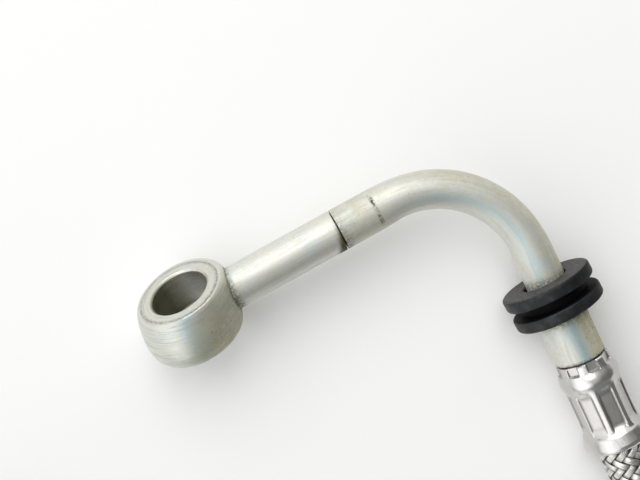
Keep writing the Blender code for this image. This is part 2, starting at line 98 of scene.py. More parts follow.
# %% Frames of the pieces
EYE_CENTRE = Vector((-49.19, 0.77, 11.985)) * mm
BORE_WAY = Vector((-0.40849, 0.68909, 0.59857))
STEM_WAY = Vector((0.87396, 0.48445, 0.03872))
CORNER = Vector((20.989, 39.671, 15.094)) * mm
BEND_AXIS = Vector((0.00794, -0.09390, 0.99555))
LEG_WAY = Vector((0.43197, -0.89757, -0.08811))
GROMMET_WAY = Vector((0.49655, -0.86353, -0.08811))  # it sits a little askew on the leg
FAR_EYE_CENTRE = Vector((-105.547, -66.069, 6.943)) * mm
FAR_BORE_WAY = Vector((-0.01451, 0.01320, 0.99981))
FAR_WAY = Vector((0.73949, -0.67288, 0.01961))       # from the far eye to the hose
GROMMET_AT = 35.0 * mm                               # along the leg, from the corner
GROMMET_THICK = 8.7 * mm
COLLAR_AT = 44.46 * mm
COLLAR_LENGTH = 11.55 * mm
SHOULDER_AT = COLLAR_AT + COLLAR_LENGTH
FAR_SHOULDER_AT = 46.4 * mm                          # from the far eye's centre
GAP = 0.3 * mm
UPRIGHT = Vector((0.0, 0.0, 1.0))


def place_at(origin, z_axis, x_hint):
    """Matrix whose Z runs along z_axis and whose X is as near x_hint as it can be."""
    z = z_axis.normalized()
    y = z.cross(x_hint).normalized()
    return Matrix.Translation(origin) @ turn_from_axes(y.cross(z), y, z)


EYE_PLACE = place_at(EYE_CENTRE, BORE_WAY, STEM_WAY)
STEM_PLACE = place_at(EYE_CENTRE, STEM_WAY, UPRIGHT)
BEND_PLACE = place_at(CORNER, BEND_AXIS, STEM_WAY)
GROMMET_MIDDLE = CORNER + LEG_WAY * (GROMMET_AT + GROMMET_THICK / 2)
GROMMET_PLACE = place_at(GROMMET_MIDDLE, -GROMMET_WAY, UPRIGHT)
NIPPLE_PLACE = place_at(CORNER + LEG_WAY * SHOULDER_AT, -LEG_WAY, UPRIGHT)
FERRULE_PLACE = place_at(CORNER + LEG_WAY * (SHOULDER_AT + GAP), -LEG_WAY, UPRIGHT)
FAR_SHOULDER = FAR_EYE_CENTRE + FAR_WAY * FAR_SHOULDER_AT
FAR_EYE_PLACE = place_at(FAR_EYE_CENTRE, FAR_BORE_WAY, FAR_WAY)
FAR_STEM_PLACE = place_at(FAR_EYE_CENTRE, FAR_WAY, UPRIGHT)
FAR_NIPPLE_PLACE = place_at(FAR_SHOULDER, -FAR_WAY, UPRIGHT)
FAR_FERRULE_PLACE = place_at(FAR_SHOULDER + FAR_WAY * GAP, -FAR_WAY, UPRIGHT)
print("shoulder at", tuple(round(value / mm, 2) for value in NIPPLE_PLACE.translation))

# %% [markdown]
# ## A short way to wire nodes
#
# Both the finishes and the Geometry Nodes trees are made of nodes. This helper adds a node, sets
# its inputs to numbers or to other nodes' outputs, and hands back what comes out of it. What comes
# out can be added or multiplied like a number, and each such sign adds a Math node.

# %% Node wiring helper


class Value:
    """A number that comes out of a node. Reckoning with it adds Math nodes."""

    def __init__(self, wiring, socket):
        self.wiring = wiring
        self.socket = socket

    def __add__(self, other):
        return self.wiring.math("ADD", self, other)

    def __mul__(self, other):
        return self.wiring.math("MULTIPLY", self, other)

    def __sub__(self, other):
        return self.wiring.math("SUBTRACT", self, other)

    def __rsub__(self, other):
        return self.wiring.math("SUBTRACT", other, self)

    def __truediv__(self, other):
        return self.wiring.math("DIVIDE", self, other)

    def __rtruediv__(self, other):
        return self.wiring.math("DIVIDE", other, self)

    __radd__ = __add__
    __rmul__ = __mul__


class Wiring:
    """Adds nodes to a tree and joins them."""

    def __init__(self, tree):
        self.tree = tree

    def feed(self, node, values):
        """Set inputs of a node, found by name or by number."""
        for key, value in values.items():
            socket = node.inputs[key]
            if isinstance(key, str):
                socket = next(s for s in node.inputs if s.name == key and s.enabled)
            if isinstance(value, Value):
                value = value.socket
            if isinstance(value, bpy.types.NodeSocket):
                self.tree.links.new(value, socket)
            else:
                socket.default_value = value

    def add(self, kind, inputs=None, **settings):
        node = self.tree.nodes.new(kind)
        for setting, value in settings.items():
            setattr(node, setting, value)
        self.feed(node, inputs or {})
        return node

    def value(self, kind, inputs, **settings):
        return Value(self, self.add(kind, inputs, **settings).outputs[0])

    def math(self, operation, *values, clamp=False):
        return self.value("ShaderNodeMath", dict(enumerate(values)), operation=operation,
                          use_clamp=clamp)

    def vector(self, operation, *values):
        return self.add("ShaderNodeVectorMath", dict(enumerate(values)),
                        operation=operation).outputs[0]

    def scaled(self, vector, factor):
        return self.add("ShaderNodeVectorMath", {0: vector, "Scale": factor},
                        operation="SCALE").outputs[0]

    def join_xyz(self, x, y, z):
        return self.add("ShaderNodeCombineXYZ", {0: x, 1: y, 2: z}).outputs[0]

    def split_xyz(self, vector):
        parts = self.add("ShaderNodeSeparateXYZ", {0: vector}).outputs
        return [Value(self, part) for part in parts]

    def between(self, value, low, high, at_low=0.0, at_high=1.0):
        """A soft step: at_low up to low, at_high from high on."""
        return self.value("ShaderNodeMapRange", {0: value, 1: low, 2: high, 3: at_low,
                                                 4: at_high},
                          interpolation_type="SMOOTHSTEP")

    def mix(self, factor, first, second):
        return self.add("ShaderNodeMix", {0: factor, 6: first, 7: second},
                        data_type="RGBA").outputs[2]

    def noise(self, place, scale, detail=2.0, roughness=0.5):
        return self.value("ShaderNodeTexNoise", {"Vector": place, "Scale": scale,
                                                 "Detail": detail, "Roughness": roughness})

    def bump(self, height, strength, distance):
        return self.add("ShaderNodeBump", {"Height": height, "Strength": strength,
                                           "Distance": distance}).outputs[0]

    def attribute(self, name):
        return Value(self, self.add("ShaderNodeAttribute",
                                    attribute_name=name).outputs["Fac"])

    def own_place(self):
        """A piece's own place, in millimetres."""
        kept = self.add("ShaderNodeAttribute", attribute_name="own_place")
        return self.scaled(kept.outputs["Vector"], 1.0 / mm)


def new_finish(name):
    """A material, the wiring of its nodes, and its shader."""
    material = bpy.data.materials.new(name)
    material.use_nodes = True
    return material, Wiring(material.node_tree), material.node_tree.nodes["Principled BSDF"]


# %% [markdown]
# ## The route of the hose
#
# The hose is about 0.24 m long between its two ferrules. It leaves the near ferrule straight,
# comes down to the bench and runs on in one wide bow to the far fitting, outside the photograph.
# The route's points are the CAD model's. A curve through them is made first, and points are then
# taken from it at even distances, because the braid needs an even thread of points.

# %% Line of the hose
ROUTE = [(71.7, -67.8), (75.4, -87.4), (72.9, -107.1), (64.2, -125.1), (50.3, -139.3),
         (32.6, -148.4), (12.9, -151.5), (-6.7, -148.1), (-24.3, -138.8)]   # plan, in mm
ROUTE_STEPS = 24
FERRULE_LENGTH = 22.6 * mm
HOSE_R = 6.0 * mm
HOSE_INSET = 2.2 * mm             # how far the free hose reaches into each ferrule
STRAIGHT_OUT = 12.0 * mm
FALL_LENGTH = 40.0 * mm
LINE_STEP = 1.0 * mm
NEAR_MOUTH = FERRULE_PLACE @ Vector((0.0, 0.0, -FERRULE_LENGTH))
FAR_MOUTH = FAR_FERRULE_PLACE @ Vector((0.0, 0.0, -FERRULE_LENGTH))


def smooth_line(points, spans):
    """Points on a smooth curve through the given ones, spans of them between each pair."""
    ends = [2 * points[0] - points[1]] + points + [2 * points[-1] - points[-2]]
    line = []
    for before, start, end, after in zip(ends, ends[1:], ends[2:], ends[3:]):
        for step in range(spans):
            t = step / spans
            line.append(0.5 * (2 * start + (end - before) * t
                               + (2 * before - 5 * start + 4 * end - after) * t ** 2
                               + (3 * start - before - 3 * end + after) * t ** 3))
    return line + [points[-1]]


def fall_height(start_height, start_slope, run):
    """Height of the hose's centre at a run from a mouth, until it lies on the bench."""
    t = min(run / FALL_LENGTH, 1.0)
    return (start_height * (2 * t ** 3 - 3 * t ** 2 + 1)
            + start_slope * FALL_LENGTH * (t ** 3 - 2 * t ** 2 + t)
            + HOSE_R * (3 * t ** 2 - 2 * t ** 3))


def hose_line(step):
    near, far = NEAR_MOUTH - LEG_WAY * HOSE_INSET, FAR_MOUTH - FAR_WAY * HOSE_INSET
    plan = [near.xy, near.xy + LEG_WAY.xy * STRAIGHT_OUT]
    plan += [Vector(point) * mm for point in ROUTE]
    plan += [far.xy + FAR_WAY.xy * STRAIGHT_OUT, far.xy]
    fine = smooth_line(plan, ROUTE_STEPS)
    runs = [0.0]
    for here, there in zip(fine, fine[1:]):
        runs.append(runs[-1] + (there - here).length)
    even = np.linspace(0.0, runs[-1], round(runs[-1] / step) + 1)
    across = np.interp(even, runs, [point.x for point in fine])
    along = np.interp(even, runs, [point.y for point in fine])
    line = []
    for x, y, run in zip(across, along, even):
        if run < runs[-1] / 2:
            height = fall_height(near.z, LEG_WAY.z, run)
        else:
            height = fall_height(far.z, FAR_WAY.z, runs[-1] - run)
        line.append((x, y, height))
    return line


HOSE_LINE = hose_line(LINE_STEP)
line_length = sum(math.dist(a, b) for a, b in zip(HOSE_LINE, HOSE_LINE[1:]))
print(f"hose line {line_length / mm:.1f} mm in {len(HOSE_LINE)} points")

# %% [markdown]
# ## How a piece is finished
#
# A pattern such as turning marks follows a piece, not the room. So before a piece is moved to its
# place, each of its points keeps its own place as an attribute, and the finishes read that. More
# attributes say how dirty and stained a spot is, where shade is painted on it, and where a teal
# reflection is painted. Grime and stain carry some painted shade too. The object itself stays at
# the origin, unturned, with its place in its mesh, as the CAD nodes have it.

# %% Helpers for pieces
SHARP_ANGLE = math.radians(32)
FINE_STEPS = 160                  # round the eye and the grommet
OUTLINE_STEP = 0.8 * mm           # longest stretch of an outline


def keep_values(mesh, attribute, values, kind="FLOAT"):
    """Store one value or vector for each point of a mesh."""
    layer = mesh.attributes.get(attribute) or mesh.attributes.new(attribute, kind, "POINT")
    field = "value" if kind == "FLOAT" else "vector"
    layer.data.foreach_set(field, np.asarray(values, dtype=np.float32).ravel())


def points_of(mesh):
    found = np.empty(len(mesh.vertices) * 3)
    mesh.vertices.foreach_get("co", found)
    return found.reshape(-1, 3)


def new_piece(name, mesh, place, material, slot, *nodes):
    """Move a mesh to its place and show it instead of CAD nodes."""
    mesh.transform(place)
    mesh.shade_smooth()
    mesh.set_sharp_from_angle(angle=SHARP_ANGLE)
    mesh.materials.clear()
    mesh.materials.append(material)
    piece = show(name, mesh)
    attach(piece, "root")
    if nodes:
        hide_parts(*nodes)
    print(f"{name}: {len(mesh.polygons)} faces")
    return piece


def settled(mesh, add_modifiers):
    """Give a mesh modifiers on a passing object and hand back the plain mesh they make."""
    passing = show("passing", mesh)
    add_modifiers(passing)
    graph = bpy.context.evaluated_depsgraph_get()
    made = bpy.data.meshes.new_from_object(passing.evaluated_get(graph),
                                           preserve_all_data_layers=True, depsgraph=graph)
    bpy.data.objects.remove(passing)
    return made


def fine_outline(outline, step):
    """The closed outline with more points, so that no stretch is longer than step."""
    fine = []
    for start, end in zip(outline, outline[1:] + outline[:1]):
        parts = max(1, math.ceil(math.dist(start, end) / step))
        for part in range(parts):
            share = part / parts
            fine.append((start[0] + (end[0] - start[0]) * share,
                         start[1] + (end[1] - start[1]) * share))
    return fine


def wrapped_faces(rows, sides):
    """Four-sided faces of a grid whose rows and sides both close on themselves."""
    row, side = np.meshgrid(np.arange(rows), np.arange(sides), indexing="ij")
    next_row, next_side = (row + 1) % rows, (side + 1) % sides
    corners = (row * sides + side, next_row * sides + side,
               next_row * sides + next_side, row * sides + next_side)
    return np.stack(corners, axis=-1).reshape(-1, 4)


def new_mesh(name, places, faces, own):
    """A mesh that knows its own place."""
    mesh = bpy.data.meshes.new(name)
    mesh.from_pydata(np.asarray(places).tolist(), [], faces)
    keep_values(mesh, "own_place", own, "FLOAT_VECTOR")
    return mesh


def turned(name, outline, steps, step):
    """Turn a closed outline of (radius, height) about Z."""
    fine = np.array(fine_outline(outline, step))
    along = np.concatenate(([0.0], np.cumsum(np.hypot(*np.diff(fine, axis=0).T))))
    rings = len(fine)
    radius = np.repeat(fine[:, 0], steps)
    around = np.tile(np.arange(steps) * 2 * math.pi / steps, rings)
    x, y = radius * np.cos(around), radius * np.sin(around)
    return new_mesh(name, np.column_stack((x, y, np.repeat(fine[:, 1], steps))),
                    wrapped_faces(rings, steps).tolist(),
                    np.column_stack((x, y, np.repeat(along, steps))))


def face_outwards(mesh):
    shape = bmesh.new()
    shape.from_mesh(mesh)
    bmesh.ops.recalc_face_normals(shape, faces=shape.faces)
    shape.to_mesh(mesh)
    shape.free()


def near_to(distance, reach):
    """1 where a distance is nothing, falling softly to 0 over a few reaches."""
    return np.exp(-(distance / reach) ** 2)


def ramp(values, start, width):
    """0 up to a start, rising evenly to 1 over a width."""
    return np.clip((values - start) / width, 0.0, 1.0)


# %% [markdown]
# ## The plated steel
#
# The eye, the tube and the collar are steel with a thin bright zinc plating. The plating is pale,
# a little yellow in places and a little blue in others, dull where it was handled, and it has
# brown specks and dirt where pieces meet. Fine marks run round the turned pieces and along the
# tubes. All of it is noise on the piece's own place, so one recipe serves every plated piece, with
# its own size of mark. Four attributes of the mesh guide it: grime and stain, which also carry
# painted shade in places, shade for painted shade, and a strip of painted teal reflection.

# %% Plated steel
CREAM_ZINC = (0.70, 0.69, 0.60, 1.0)
SILVER_ZINC = (0.71, 0.72, 0.70, 1.0)
BLUE_ZINC = (0.60, 0.69, 0.71, 1.0)
TEAL_REFLECTED = (0.36, 0.52, 0.56, 1.0)
STREAK_ZINC = (0.42, 0.43, 0.39, 1.0)
OLIVE_STAIN_AND_SHADE = (0.46, 0.43, 0.26, 1.0)
RUST_SPECK = (0.10, 0.065, 0.035, 1.0)
SHADE_BROWN = (0.066, 0.062, 0.028, 1.0)
DIRT = (0.075, 0.068, 0.048, 1.0)


def plated_steel(name, marks, mark_depth, streaks, metallic, roughness):
    """marks is how many marks a millimetre of the own place has in X, Y and Z; streaks is how
    dark they get; roughness is that of the smoothest and of the dullest spots."""
    material, wiring, shader = new_finish(name)
    between, mix, noise = wiring.between, wiring.mix, wiring.noise
    place = wiring.own_place()
    scratches = noise(wiring.vector("MULTIPLY", place, marks), 1.0, 3.0, 0.6)
    patches = noise(place, 0.16, 3.0)
    mottle = noise(place, 1.1, 5.0, 0.62)
    grain = noise(place, 6.0, 2.0)
    colour = mix(between(mottle, 0.38, 0.62), CREAM_ZINC, SILVER_ZINC)
    colour = mix(between(patches, 0.52, 0.66, 0.0, 0.45), colour, BLUE_ZINC)
    colour = mix(between(scratches, 0.50, 0.66, 0.0, streaks), colour, STREAK_ZINC)
    colour = mix(between(grain, 0.45, 0.70, 0.0, 0.35), colour, STREAK_ZINC)
    teal_reflection = wiring.attribute("teal_reflection") * between(mottle, 0.30, 0.60, 0.6, 1.0)
    stain_and_shade_mask = wiring.attribute("stain_and_shade")
    stain_and_shade = stain_and_shade_mask * between(noise(place, 0.5, 4.0), 0.30, 0.60, 0.45, 1.0)
    specks = between(noise(place, 1.9, 3.0, 0.7) + stain_and_shade_mask * 0.10, 0.68, 0.76)
    grime_and_shade = wiring.math("MULTIPLY", wiring.attribute("grime_and_shade"),
                        between(noise(place, 1.6, 4.0, 0.7), 0.34, 0.58), clamp=True)
    # The teal layer is a painted reflection, the olive stain layer is partly real stain and partly
    # painted shade, and the brown shade layer is painted shade.
    for share, layer in ((teal_reflection, TEAL_REFLECTED), (stain_and_shade, OLIVE_STAIN_AND_SHADE), (specks, RUST_SPECK),
                         (grime_and_shade, DIRT), (wiring.attribute("shade"), SHADE_BROWN)):
        colour = mix(share, colour, layer)
    dull = wiring.math("MAXIMUM", stain_and_shade, wiring.math("MAXIMUM", specks, grime_and_shade))
    wiring.feed(shader, {
        "Base Color": colour,
        "Metallic": between(dull, 0.0, 1.0, metallic, 0.35),
        "Roughness": between(scratches, 0.3, 0.7, *roughness) + dull * 0.3,
        "Normal": wiring.bump(scratches + grain * 0.4, 0.6, mark_depth)})
    return material


turned_steel = plated_steel("zinc_turned", (0.13, 0.13, 2.8), 0.15 * mm, 0.55, 0.90,
                            (0.30, 0.44))
drawn_steel = plated_steel("zinc_drawn", (1.5, 1.5, 0.10), 0.035 * mm, 0.20, 0.72,
                           (0.47, 0.60))
print("plated steel: turned and drawn")

# %% [markdown]
# ## The banjo eye
#
# The eye is a turned ring with a full rounded side. Its two flat faces stand a hair proud, where
# they were machined for the washers. A groove inside the bore feeds the oil to the stem. A turned
# outline makes all of this; a Boolean then takes out the stem's socket and the oil passage.

# %% Banjo eye
BORE_R = 7.1 * mm
BORE_CHAMFER = 0.5 * mm
EYE_HALF = 6.75 * mm
SEAL_R = 9.9 * mm
SEAL_PROUD = 0.1 * mm
BALL_R = 12.4 * mm
BALL_SQUARENESS = 2.3
BALL_SHIFT = (-0.7 * mm, -0.2 * mm)         # the forged side is not quite true to the bore
BALL_LEAN = (0.15, 0.25)
OIL_GROOVE_R = 8.3 * mm
OIL_GROOVE_HALF = 4.6 * mm
SOCKET_FLOOR = 9.6 * mm
STEM_R = 5.2 * mm
STEM_BORE_R = 2.7 * mm
EYE_SIDE_STEPS = 40
BAR_SIDES = 96
DIRTY_SHADED_SIDE = Vector((0.62, -0.63, -0.45))   # dirty side, also painted with shade, in the eye's own frame
TEAL_AZIMUTH, TEAL_SPREAD = -97, 12         # painted teal reflection, degrees round the bore
SECTION_R = 6.0 * mm                        # middle of the ring's section, and the length
SECTION_SCALE = 9.0 * mm                    # that one radian round it counts as
RIM_DIRT_WIDTH = 0.35 * mm
FOOT_DIRT_WIDTH = 0.55 * mm
BORE_EDGE = 0.3 * mm
GROOVE_WALL_R = SEAL_R - 1.2 * mm
BORE_SHADE = (-4.0 * mm, 6.0 * mm)          # how far painted shade darkens its wall, and how softly it ends


def side_fullness(share):
    """How full the ball is at a share of its half width: 1 at mid width, 0 at a face."""
    return (1 - np.abs(share) ** BALL_SQUARENESS) ** (1 / BALL_SQUARENESS)


def eye_outline():
    side = []
    half = EYE_HALF - SEAL_PROUD
    for step in range(-EYE_SIDE_STEPS, EYE_SIDE_STEPS + 1):
        share = math.sin(step / EYE_SIDE_STEPS * math.pi / 2)
        side.append((SEAL_R + (BALL_R - SEAL_R) * side_fullness(share), -share * half))
    inner_half = [(OIL_GROOVE_R, OIL_GROOVE_HALF - (OIL_GROOVE_R - BORE_R) / 2),
                  (BORE_R, OIL_GROOVE_HALF),
                  (BORE_R, EYE_HALF - BORE_CHAMFER),
                  (BORE_R + BORE_CHAMFER, EYE_HALF)]
    lower = [(radius, -height) for radius, height in reversed(inner_half)]
    seal = SEAL_R - SEAL_PROUD / 2
    return side + [(seal, -EYE_HALF)] + lower + inner_half + [(seal, EYE_HALF)]


def round_bar(name, radius, start, end):
    """A passing round bar along X, for cutting."""
    shape = bmesh.new()
    bmesh.ops.create_cone(shape, cap_ends=True, segments=BAR_SIDES, radius1=radius,
                          radius2=radius, depth=end - start,
                          matrix=Matrix.Translation(((start + end) / 2, 0.0, 0.0))
                          @ Matrix.Rotation(math.pi / 2, 4, "Y"))
    mesh = bpy.data.meshes.new(name)
    shape.to_mesh(mesh)
    shape.free()
    return show(name, mesh)


def add_eye(name, place):
    """Turn the ring, lean its forged side, cut it for the stem, and say where it is dirty and where
    shade and a teal reflection are painted.
    """
    ring = turned(name, eye_outline(), FINE_STEPS, OUTLINE_STEP)
    spots = points_of(ring)
    share = np.clip(spots[:, 2] / (EYE_HALF - SEAL_PROUD), -1.0, 1.0)
    fullness = side_fullness(share) * (np.hypot(spots[:, 0], spots[:, 1]) > SEAL_R)
    for axis, (start, lean) in enumerate(zip(BALL_SHIFT, BALL_LEAN)):
        spots[:, axis] += (start + lean * spots[:, 2]) * fullness
    ring.vertices.foreach_set("co", spots.ravel())
    bars = [round_bar("socket_bar", STEM_R + GAP / 3, SOCKET_FLOOR, 2 * BALL_R),
            round_bar("passage_bar", STEM_BORE_R, BORE_R / 2, SOCKET_FLOOR + GAP)]

    def cut(passing):
        for bar in bars:
            cutting = passing.modifiers.new(bar.name, "BOOLEAN")
            cutting.operation = "DIFFERENCE"
            cutting.solver = "EXACT"
            cutting.object = bar

    mesh = settled(ring, cut)
    for bar in bars:
        bpy.data.objects.remove(bar)
    spots = points_of(mesh)
    radius = np.hypot(spots[:, 0], spots[:, 1])
    section = np.arctan2(spots[:, 2], radius - SECTION_R) * SECTION_SCALE
    keep_values(mesh, "own_place", np.column_stack((spots[:, 0], spots[:, 1], section)),
                "FLOAT_VECTOR")
    height = np.abs(spots[:, 2])
    rim = near_to(np.hypot(radius - SEAL_R, height - EYE_HALF), RIM_DIRT_WIDTH)
    foot = near_to(np.hypot(spots[:, 1], spots[:, 2]) - STEM_R, FOOT_DIRT_WIDTH)
    foot *= spots[:, 0] > 0
    inside = 1 - ramp(radius, BORE_R, BORE_EDGE)
    inside = np.maximum(inside, (radius < GROOVE_WALL_R) & (height < OIL_GROOVE_HALF))
    facing = spots @ np.array(DIRTY_SHADED_SIDE) / BALL_R
    dirty_and_shaded = ramp(facing, 0.25, 0.5) * (height < EYE_HALF - BORE_EDGE)
    away = 1 - ramp(spots[:, 0], *BORE_SHADE)
    seal_face = (height > EYE_HALF - SEAL_PROUD / 2) * 1.0
    azimuth = np.degrees(np.arctan2(spots[:, 1], spots[:, 0]))
    on_side = (radius > SEAL_R) * 1.0
    # A teal reflection is painted in a strip round the side.
    keep_values(mesh, "teal_reflection", 0.6 * near_to(azimuth - TEAL_AZIMUTH, TEAL_SPREAD) * on_side)
    keep_values(mesh, "grime_and_shade", 0.6 * rim + foot + 0.15 * inside)
    # The stain and shade on the dirty side are partly dirt and partly painted shade; in the bore
    # they are painted shade.
    keep_values(mesh, "stain_and_shade", 0.65 * dirty_and_shaded + 0.6 * inside * away + 0.1 * seal_face)
    keep_values(mesh, "shade", inside * 0.85 * away + 0.24 * dirty_and_shaded ** 2 * on_side)
    return new_piece(name + "_fine", mesh, place, turned_steel, "plated_steel", name)


add_eye("banjo_eye", EYE_PLACE)
far_eye = add_eye("far_banjo_eye", FAR_EYE_PLACE)

# %% [markdown]
# ## The stem and the bent tube
#
# The stem is a straight tube, brazed into the eye. The bent tube is pushed over its thin end, and
# the two don't quite meet on the lower side, where shade is painted as a dark wedge. In a tube bend
# the section is pressed a little flat, so the tube is a loft through sections that change along it,
# and not a plain sweep.

# %% Stem and bent tube
STEM_END = 39.7 * mm
SPIGOT_LENGTH = 6.0 * mm
END_CHAMFER = 0.4 * mm
JOINT_OPEN = 0.05 * mm            # how much wider the joint is on its lower side
JOINT_WEDGE = 3.0 * mm            # length of the wedge of painted shade there
WEDGE_FADE = 1.3 * mm             # how softly the wedge ends
SHOULDER_RUN = 2.0 * mm
STEM_DIRT_WIDTH = 0.9 * mm
JOINT_DIRT_WIDTH = 0.8 * mm
BAND_AT, BAND_WIDTH, BAND_SHADE = 0.62, 0.22, 0.22   # painted shade: a dark band along the lower side
BAND_END = (25.0 * mm, 15.0 * mm) # where it ends on the bent tube, and how softly
TUBE_WALL = 1.3 * mm
LEG_R = 4.9 * mm
BEND_RADIUS = 25.0 * mm
BEND_SQUEEZE = 0.94
SQUEEZE_RUN = 9.0 * mm
TOOL_MARK_RUN = 9.6 * mm          # from the joint to the mark of a bending tool
TOOL_MARK_BOW = 0.8 * mm
TOOL_MARK_WIDTH = 0.22 * mm
TOOL_MARK_REACH = 4.4 * mm
TUBE_DIRT_WIDTH = 1.6 * mm
TUBE_STAIN = (5.0 * mm, 7.0 * mm) # middle and reach of the stain beside the joint
LEG_DIRT_WIDTH = 1.1 * mm
BEND_PAINT_START = (14.0 * mm, 14.0 * mm)   # where the painted teal reflection and shade on the bend start, and how softly
EYE_TO_CORNER = 80.3 * mm
TUBE_END = COLLAR_AT + 9.3 * mm   # along the leg
TUBE_SIDES = 96                   # round the stem and the tube
TUBE_STEP = 0.7 * mm
FAR_STEM_STEP = 32.85 * mm
FAR_TIP_LENGTH = 11.3 * mm


def add_stem(name, length, tip_radius, tip_length, open_joint, place):
    """A straight tube with a thinner tip; open_joint draws its shoulder back on one side."""
    foot, tip = SOCKET_FLOOR + GAP, length + tip_length
    outline = [(tip_radius - END_CHAMFER, tip), (tip_radius, tip - END_CHAMFER),
               (tip_radius, length), (STEM_R - END_CHAMFER / 3, length),
               (STEM_R, length - END_CHAMFER / 3), (STEM_R, foot + END_CHAMFER),
               (STEM_R - END_CHAMFER, foot), (STEM_BORE_R, foot), (STEM_BORE_R, tip)]
    mesh = turned(name, outline, TUBE_SIDES, OUTLINE_STEP)
    spots = points_of(mesh)
    radius = np.hypot(spots[:, 0], spots[:, 1])
    lower = ((spots[:, 1] / STEM_R + 1) / 2) ** 2
    wedge = ramp(spots[:, 2], length - JOINT_WEDGE * lower, WEDGE_FADE)
    shoulder = ramp(spots[:, 2], length - SHOULDER_RUN, SHOULDER_RUN)
    spots[:, 2] -= open_joint * lower * shoulder * (radius > tip_radius + GAP / 2)
    mesh.vertices.foreach_set("co", spots.ravel())
    ball_edge = math.sqrt(BALL_R ** 2 - STEM_R ** 2)
    foot_dirt = near_to(np.maximum(spots[:, 2] - ball_edge, 0.0), STEM_DIRT_WIDTH)
    joint_dirt = near_to(spots[:, 2] - length, JOINT_DIRT_WIDTH) * lower
    spigot = (radius < tip_radius + GAP / 2) * 1.0
    keep_values(mesh, "grime_and_shade", 0.7 * foot_dirt + 0.8 * joint_dirt + spigot)
    keep_values(mesh, "stain_and_shade", 0.4 * foot_dirt + 0.5 * joint_dirt)
    # Painted shade: a dark band along the lower side, and a dark wedge on the lower side of the
    # joint.
    low_band = BAND_SHADE * near_to(spots[:, 1] / STEM_R - BAND_AT, BAND_WIDTH)
    low_band *= spots[:, 0] > 0
    keep_values(mesh, "shade", np.maximum(low_band, wedge * (open_joint > 0)))
    return new_piece(name + "_fine", mesh, place, drawn_steel, "plated_steel", name)


def tube_stations(turn):
    """Centre, heading and squeeze along the tube, in the plane of the bend."""
    tangent = BEND_RADIUS * math.tan(turn / 2)
    arc = BEND_RADIUS * turn
    start, end = -(EYE_TO_CORNER - STEM_END) + GAP, TUBE_END
    straight_in, straight_out = -tangent - start, end - tangent
    total = straight_in + arc + straight_out
    stations = []
    for run in np.linspace(0.0, total, round(total / TUBE_STEP) + 1):
        bend = min(max(run - straight_in, 0.0), arc)
        angle = bend / BEND_RADIUS
        centre = Vector((-tangent + BEND_RADIUS * math.sin(angle),
                         -BEND_RADIUS * (1 - math.cos(angle))))
        centre += Vector((1.0, 0.0)) * min(run - straight_in, 0.0)
        centre += (Vector((math.cos(turn), -math.sin(turn)))
                   * max(run - straight_in - arc, 0.0))
        from_end = min(run - straight_in, straight_in + arc - run)
        share = min(max(0.5 + from_end / SQUEEZE_RUN, 0.0), 1.0)
        stations.append((centre, angle, share * share * (3 - 2 * share), run, run / total))
    return stations


def add_bent_tube(name, place):
    """Loft the tube's outside there and its bore back, as one closed skin."""
    stations = tube_stations(STEM_WAY.angle(LEG_WAY))
    around = np.arange(TUBE_SIDES) * 2 * math.pi / TUBE_SIDES
    rows, own = [], []
    for wall, order in ((0.0, stations), (TUBE_WALL, stations[::-1])):
        for centre, heading, squeezed, run, share in order:
            radius = STEM_R + (LEG_R - STEM_R) * share
            loss = radius * (1 - BEND_SQUEEZE) * squeezed
            reach = (radius - loss - wall) * np.cos(around)
            height = (radius + loss / 2 - wall) * np.sin(around)
            rows.append(np.column_stack((centre.x + math.sin(heading) * reach,
                                         centre.y + math.cos(heading) * reach, height)))
            own.append(np.column_stack((radius * np.cos(around), radius * np.sin(around),
                                        np.full(TUBE_SIDES, run))))
    own = np.concatenate(own)
    faces = wrapped_faces(len(rows), TUBE_SIDES)[:, [0, 3, 2, 1]]
    mesh = new_mesh(name, np.concatenate(rows), faces.tolist(), own)
    run, across = own[:, 2], own[:, 0] / STEM_R
    grommet_run = stations[-1][3] - TUBE_END + GROMMET_AT
    upper = own[:, 1] > 0
    joint = near_to(run, TUBE_DIRT_WIDTH) * (0.6 - 0.4 * across)
    tool_mark = near_to(run - TOOL_MARK_RUN - TOOL_MARK_BOW * across ** 2, TOOL_MARK_WIDTH)
    tool_mark *= (np.abs(own[:, 0]) < TOOL_MARK_REACH) & upper
    under_grommet = near_to(run - grommet_run, LEG_DIRT_WIDTH)
    bent = ramp(run, *BEND_PAINT_START) * upper
    # A teal reflection is painted in a strip on the bend, and olive shade is painted beside it.
    keep_values(mesh, "teal_reflection", 0.6 * near_to(across + 0.40, 0.20) * bent)
    keep_values(mesh, "grime_and_shade", 0.7 * joint + 1.2 * tool_mark + 0.8 * under_grommet)
    keep_values(mesh, "stain_and_shade", 0.35 * near_to(run - TUBE_STAIN[0], TUBE_STAIN[1])
                + 0.3 * under_grommet + 0.35 * ramp(across, 0.1, 0.4) * bent)
    # Painted shade along the lower side, before the bend.
    low_band = BAND_SHADE * near_to(across + BAND_AT, BAND_WIDTH)
    keep_values(mesh, "shade", low_band * (1 - ramp(run, *BAND_END)) * upper)
    return new_piece(name + "_fine", mesh, place, drawn_steel, "plated_steel", name)


add_stem("eye_stem", STEM_END, STEM_R - TUBE_WALL - GAP, SPIGOT_LENGTH, JOINT_OPEN,
         STEM_PLACE)
add_bent_tube("bent_tube", BEND_PLACE)
far_stem = add_stem("far_stem", FAR_STEM_STEP, LEG_R, FAR_TIP_LENGTH, 0.0, FAR_STEM_PLACE)

# %% [markdown]
# ## The grommet
#
# The rubber grommet sits tight on the leg. Its two flanges hold the edge of a sheet between them.
# It is one turned outline with rounded edges. Rubber is near black, with a dull grey bloom, dust
# in its pores and a slightly brown face where dirt has settled. Shade is painted in its groove and
# over its right side.

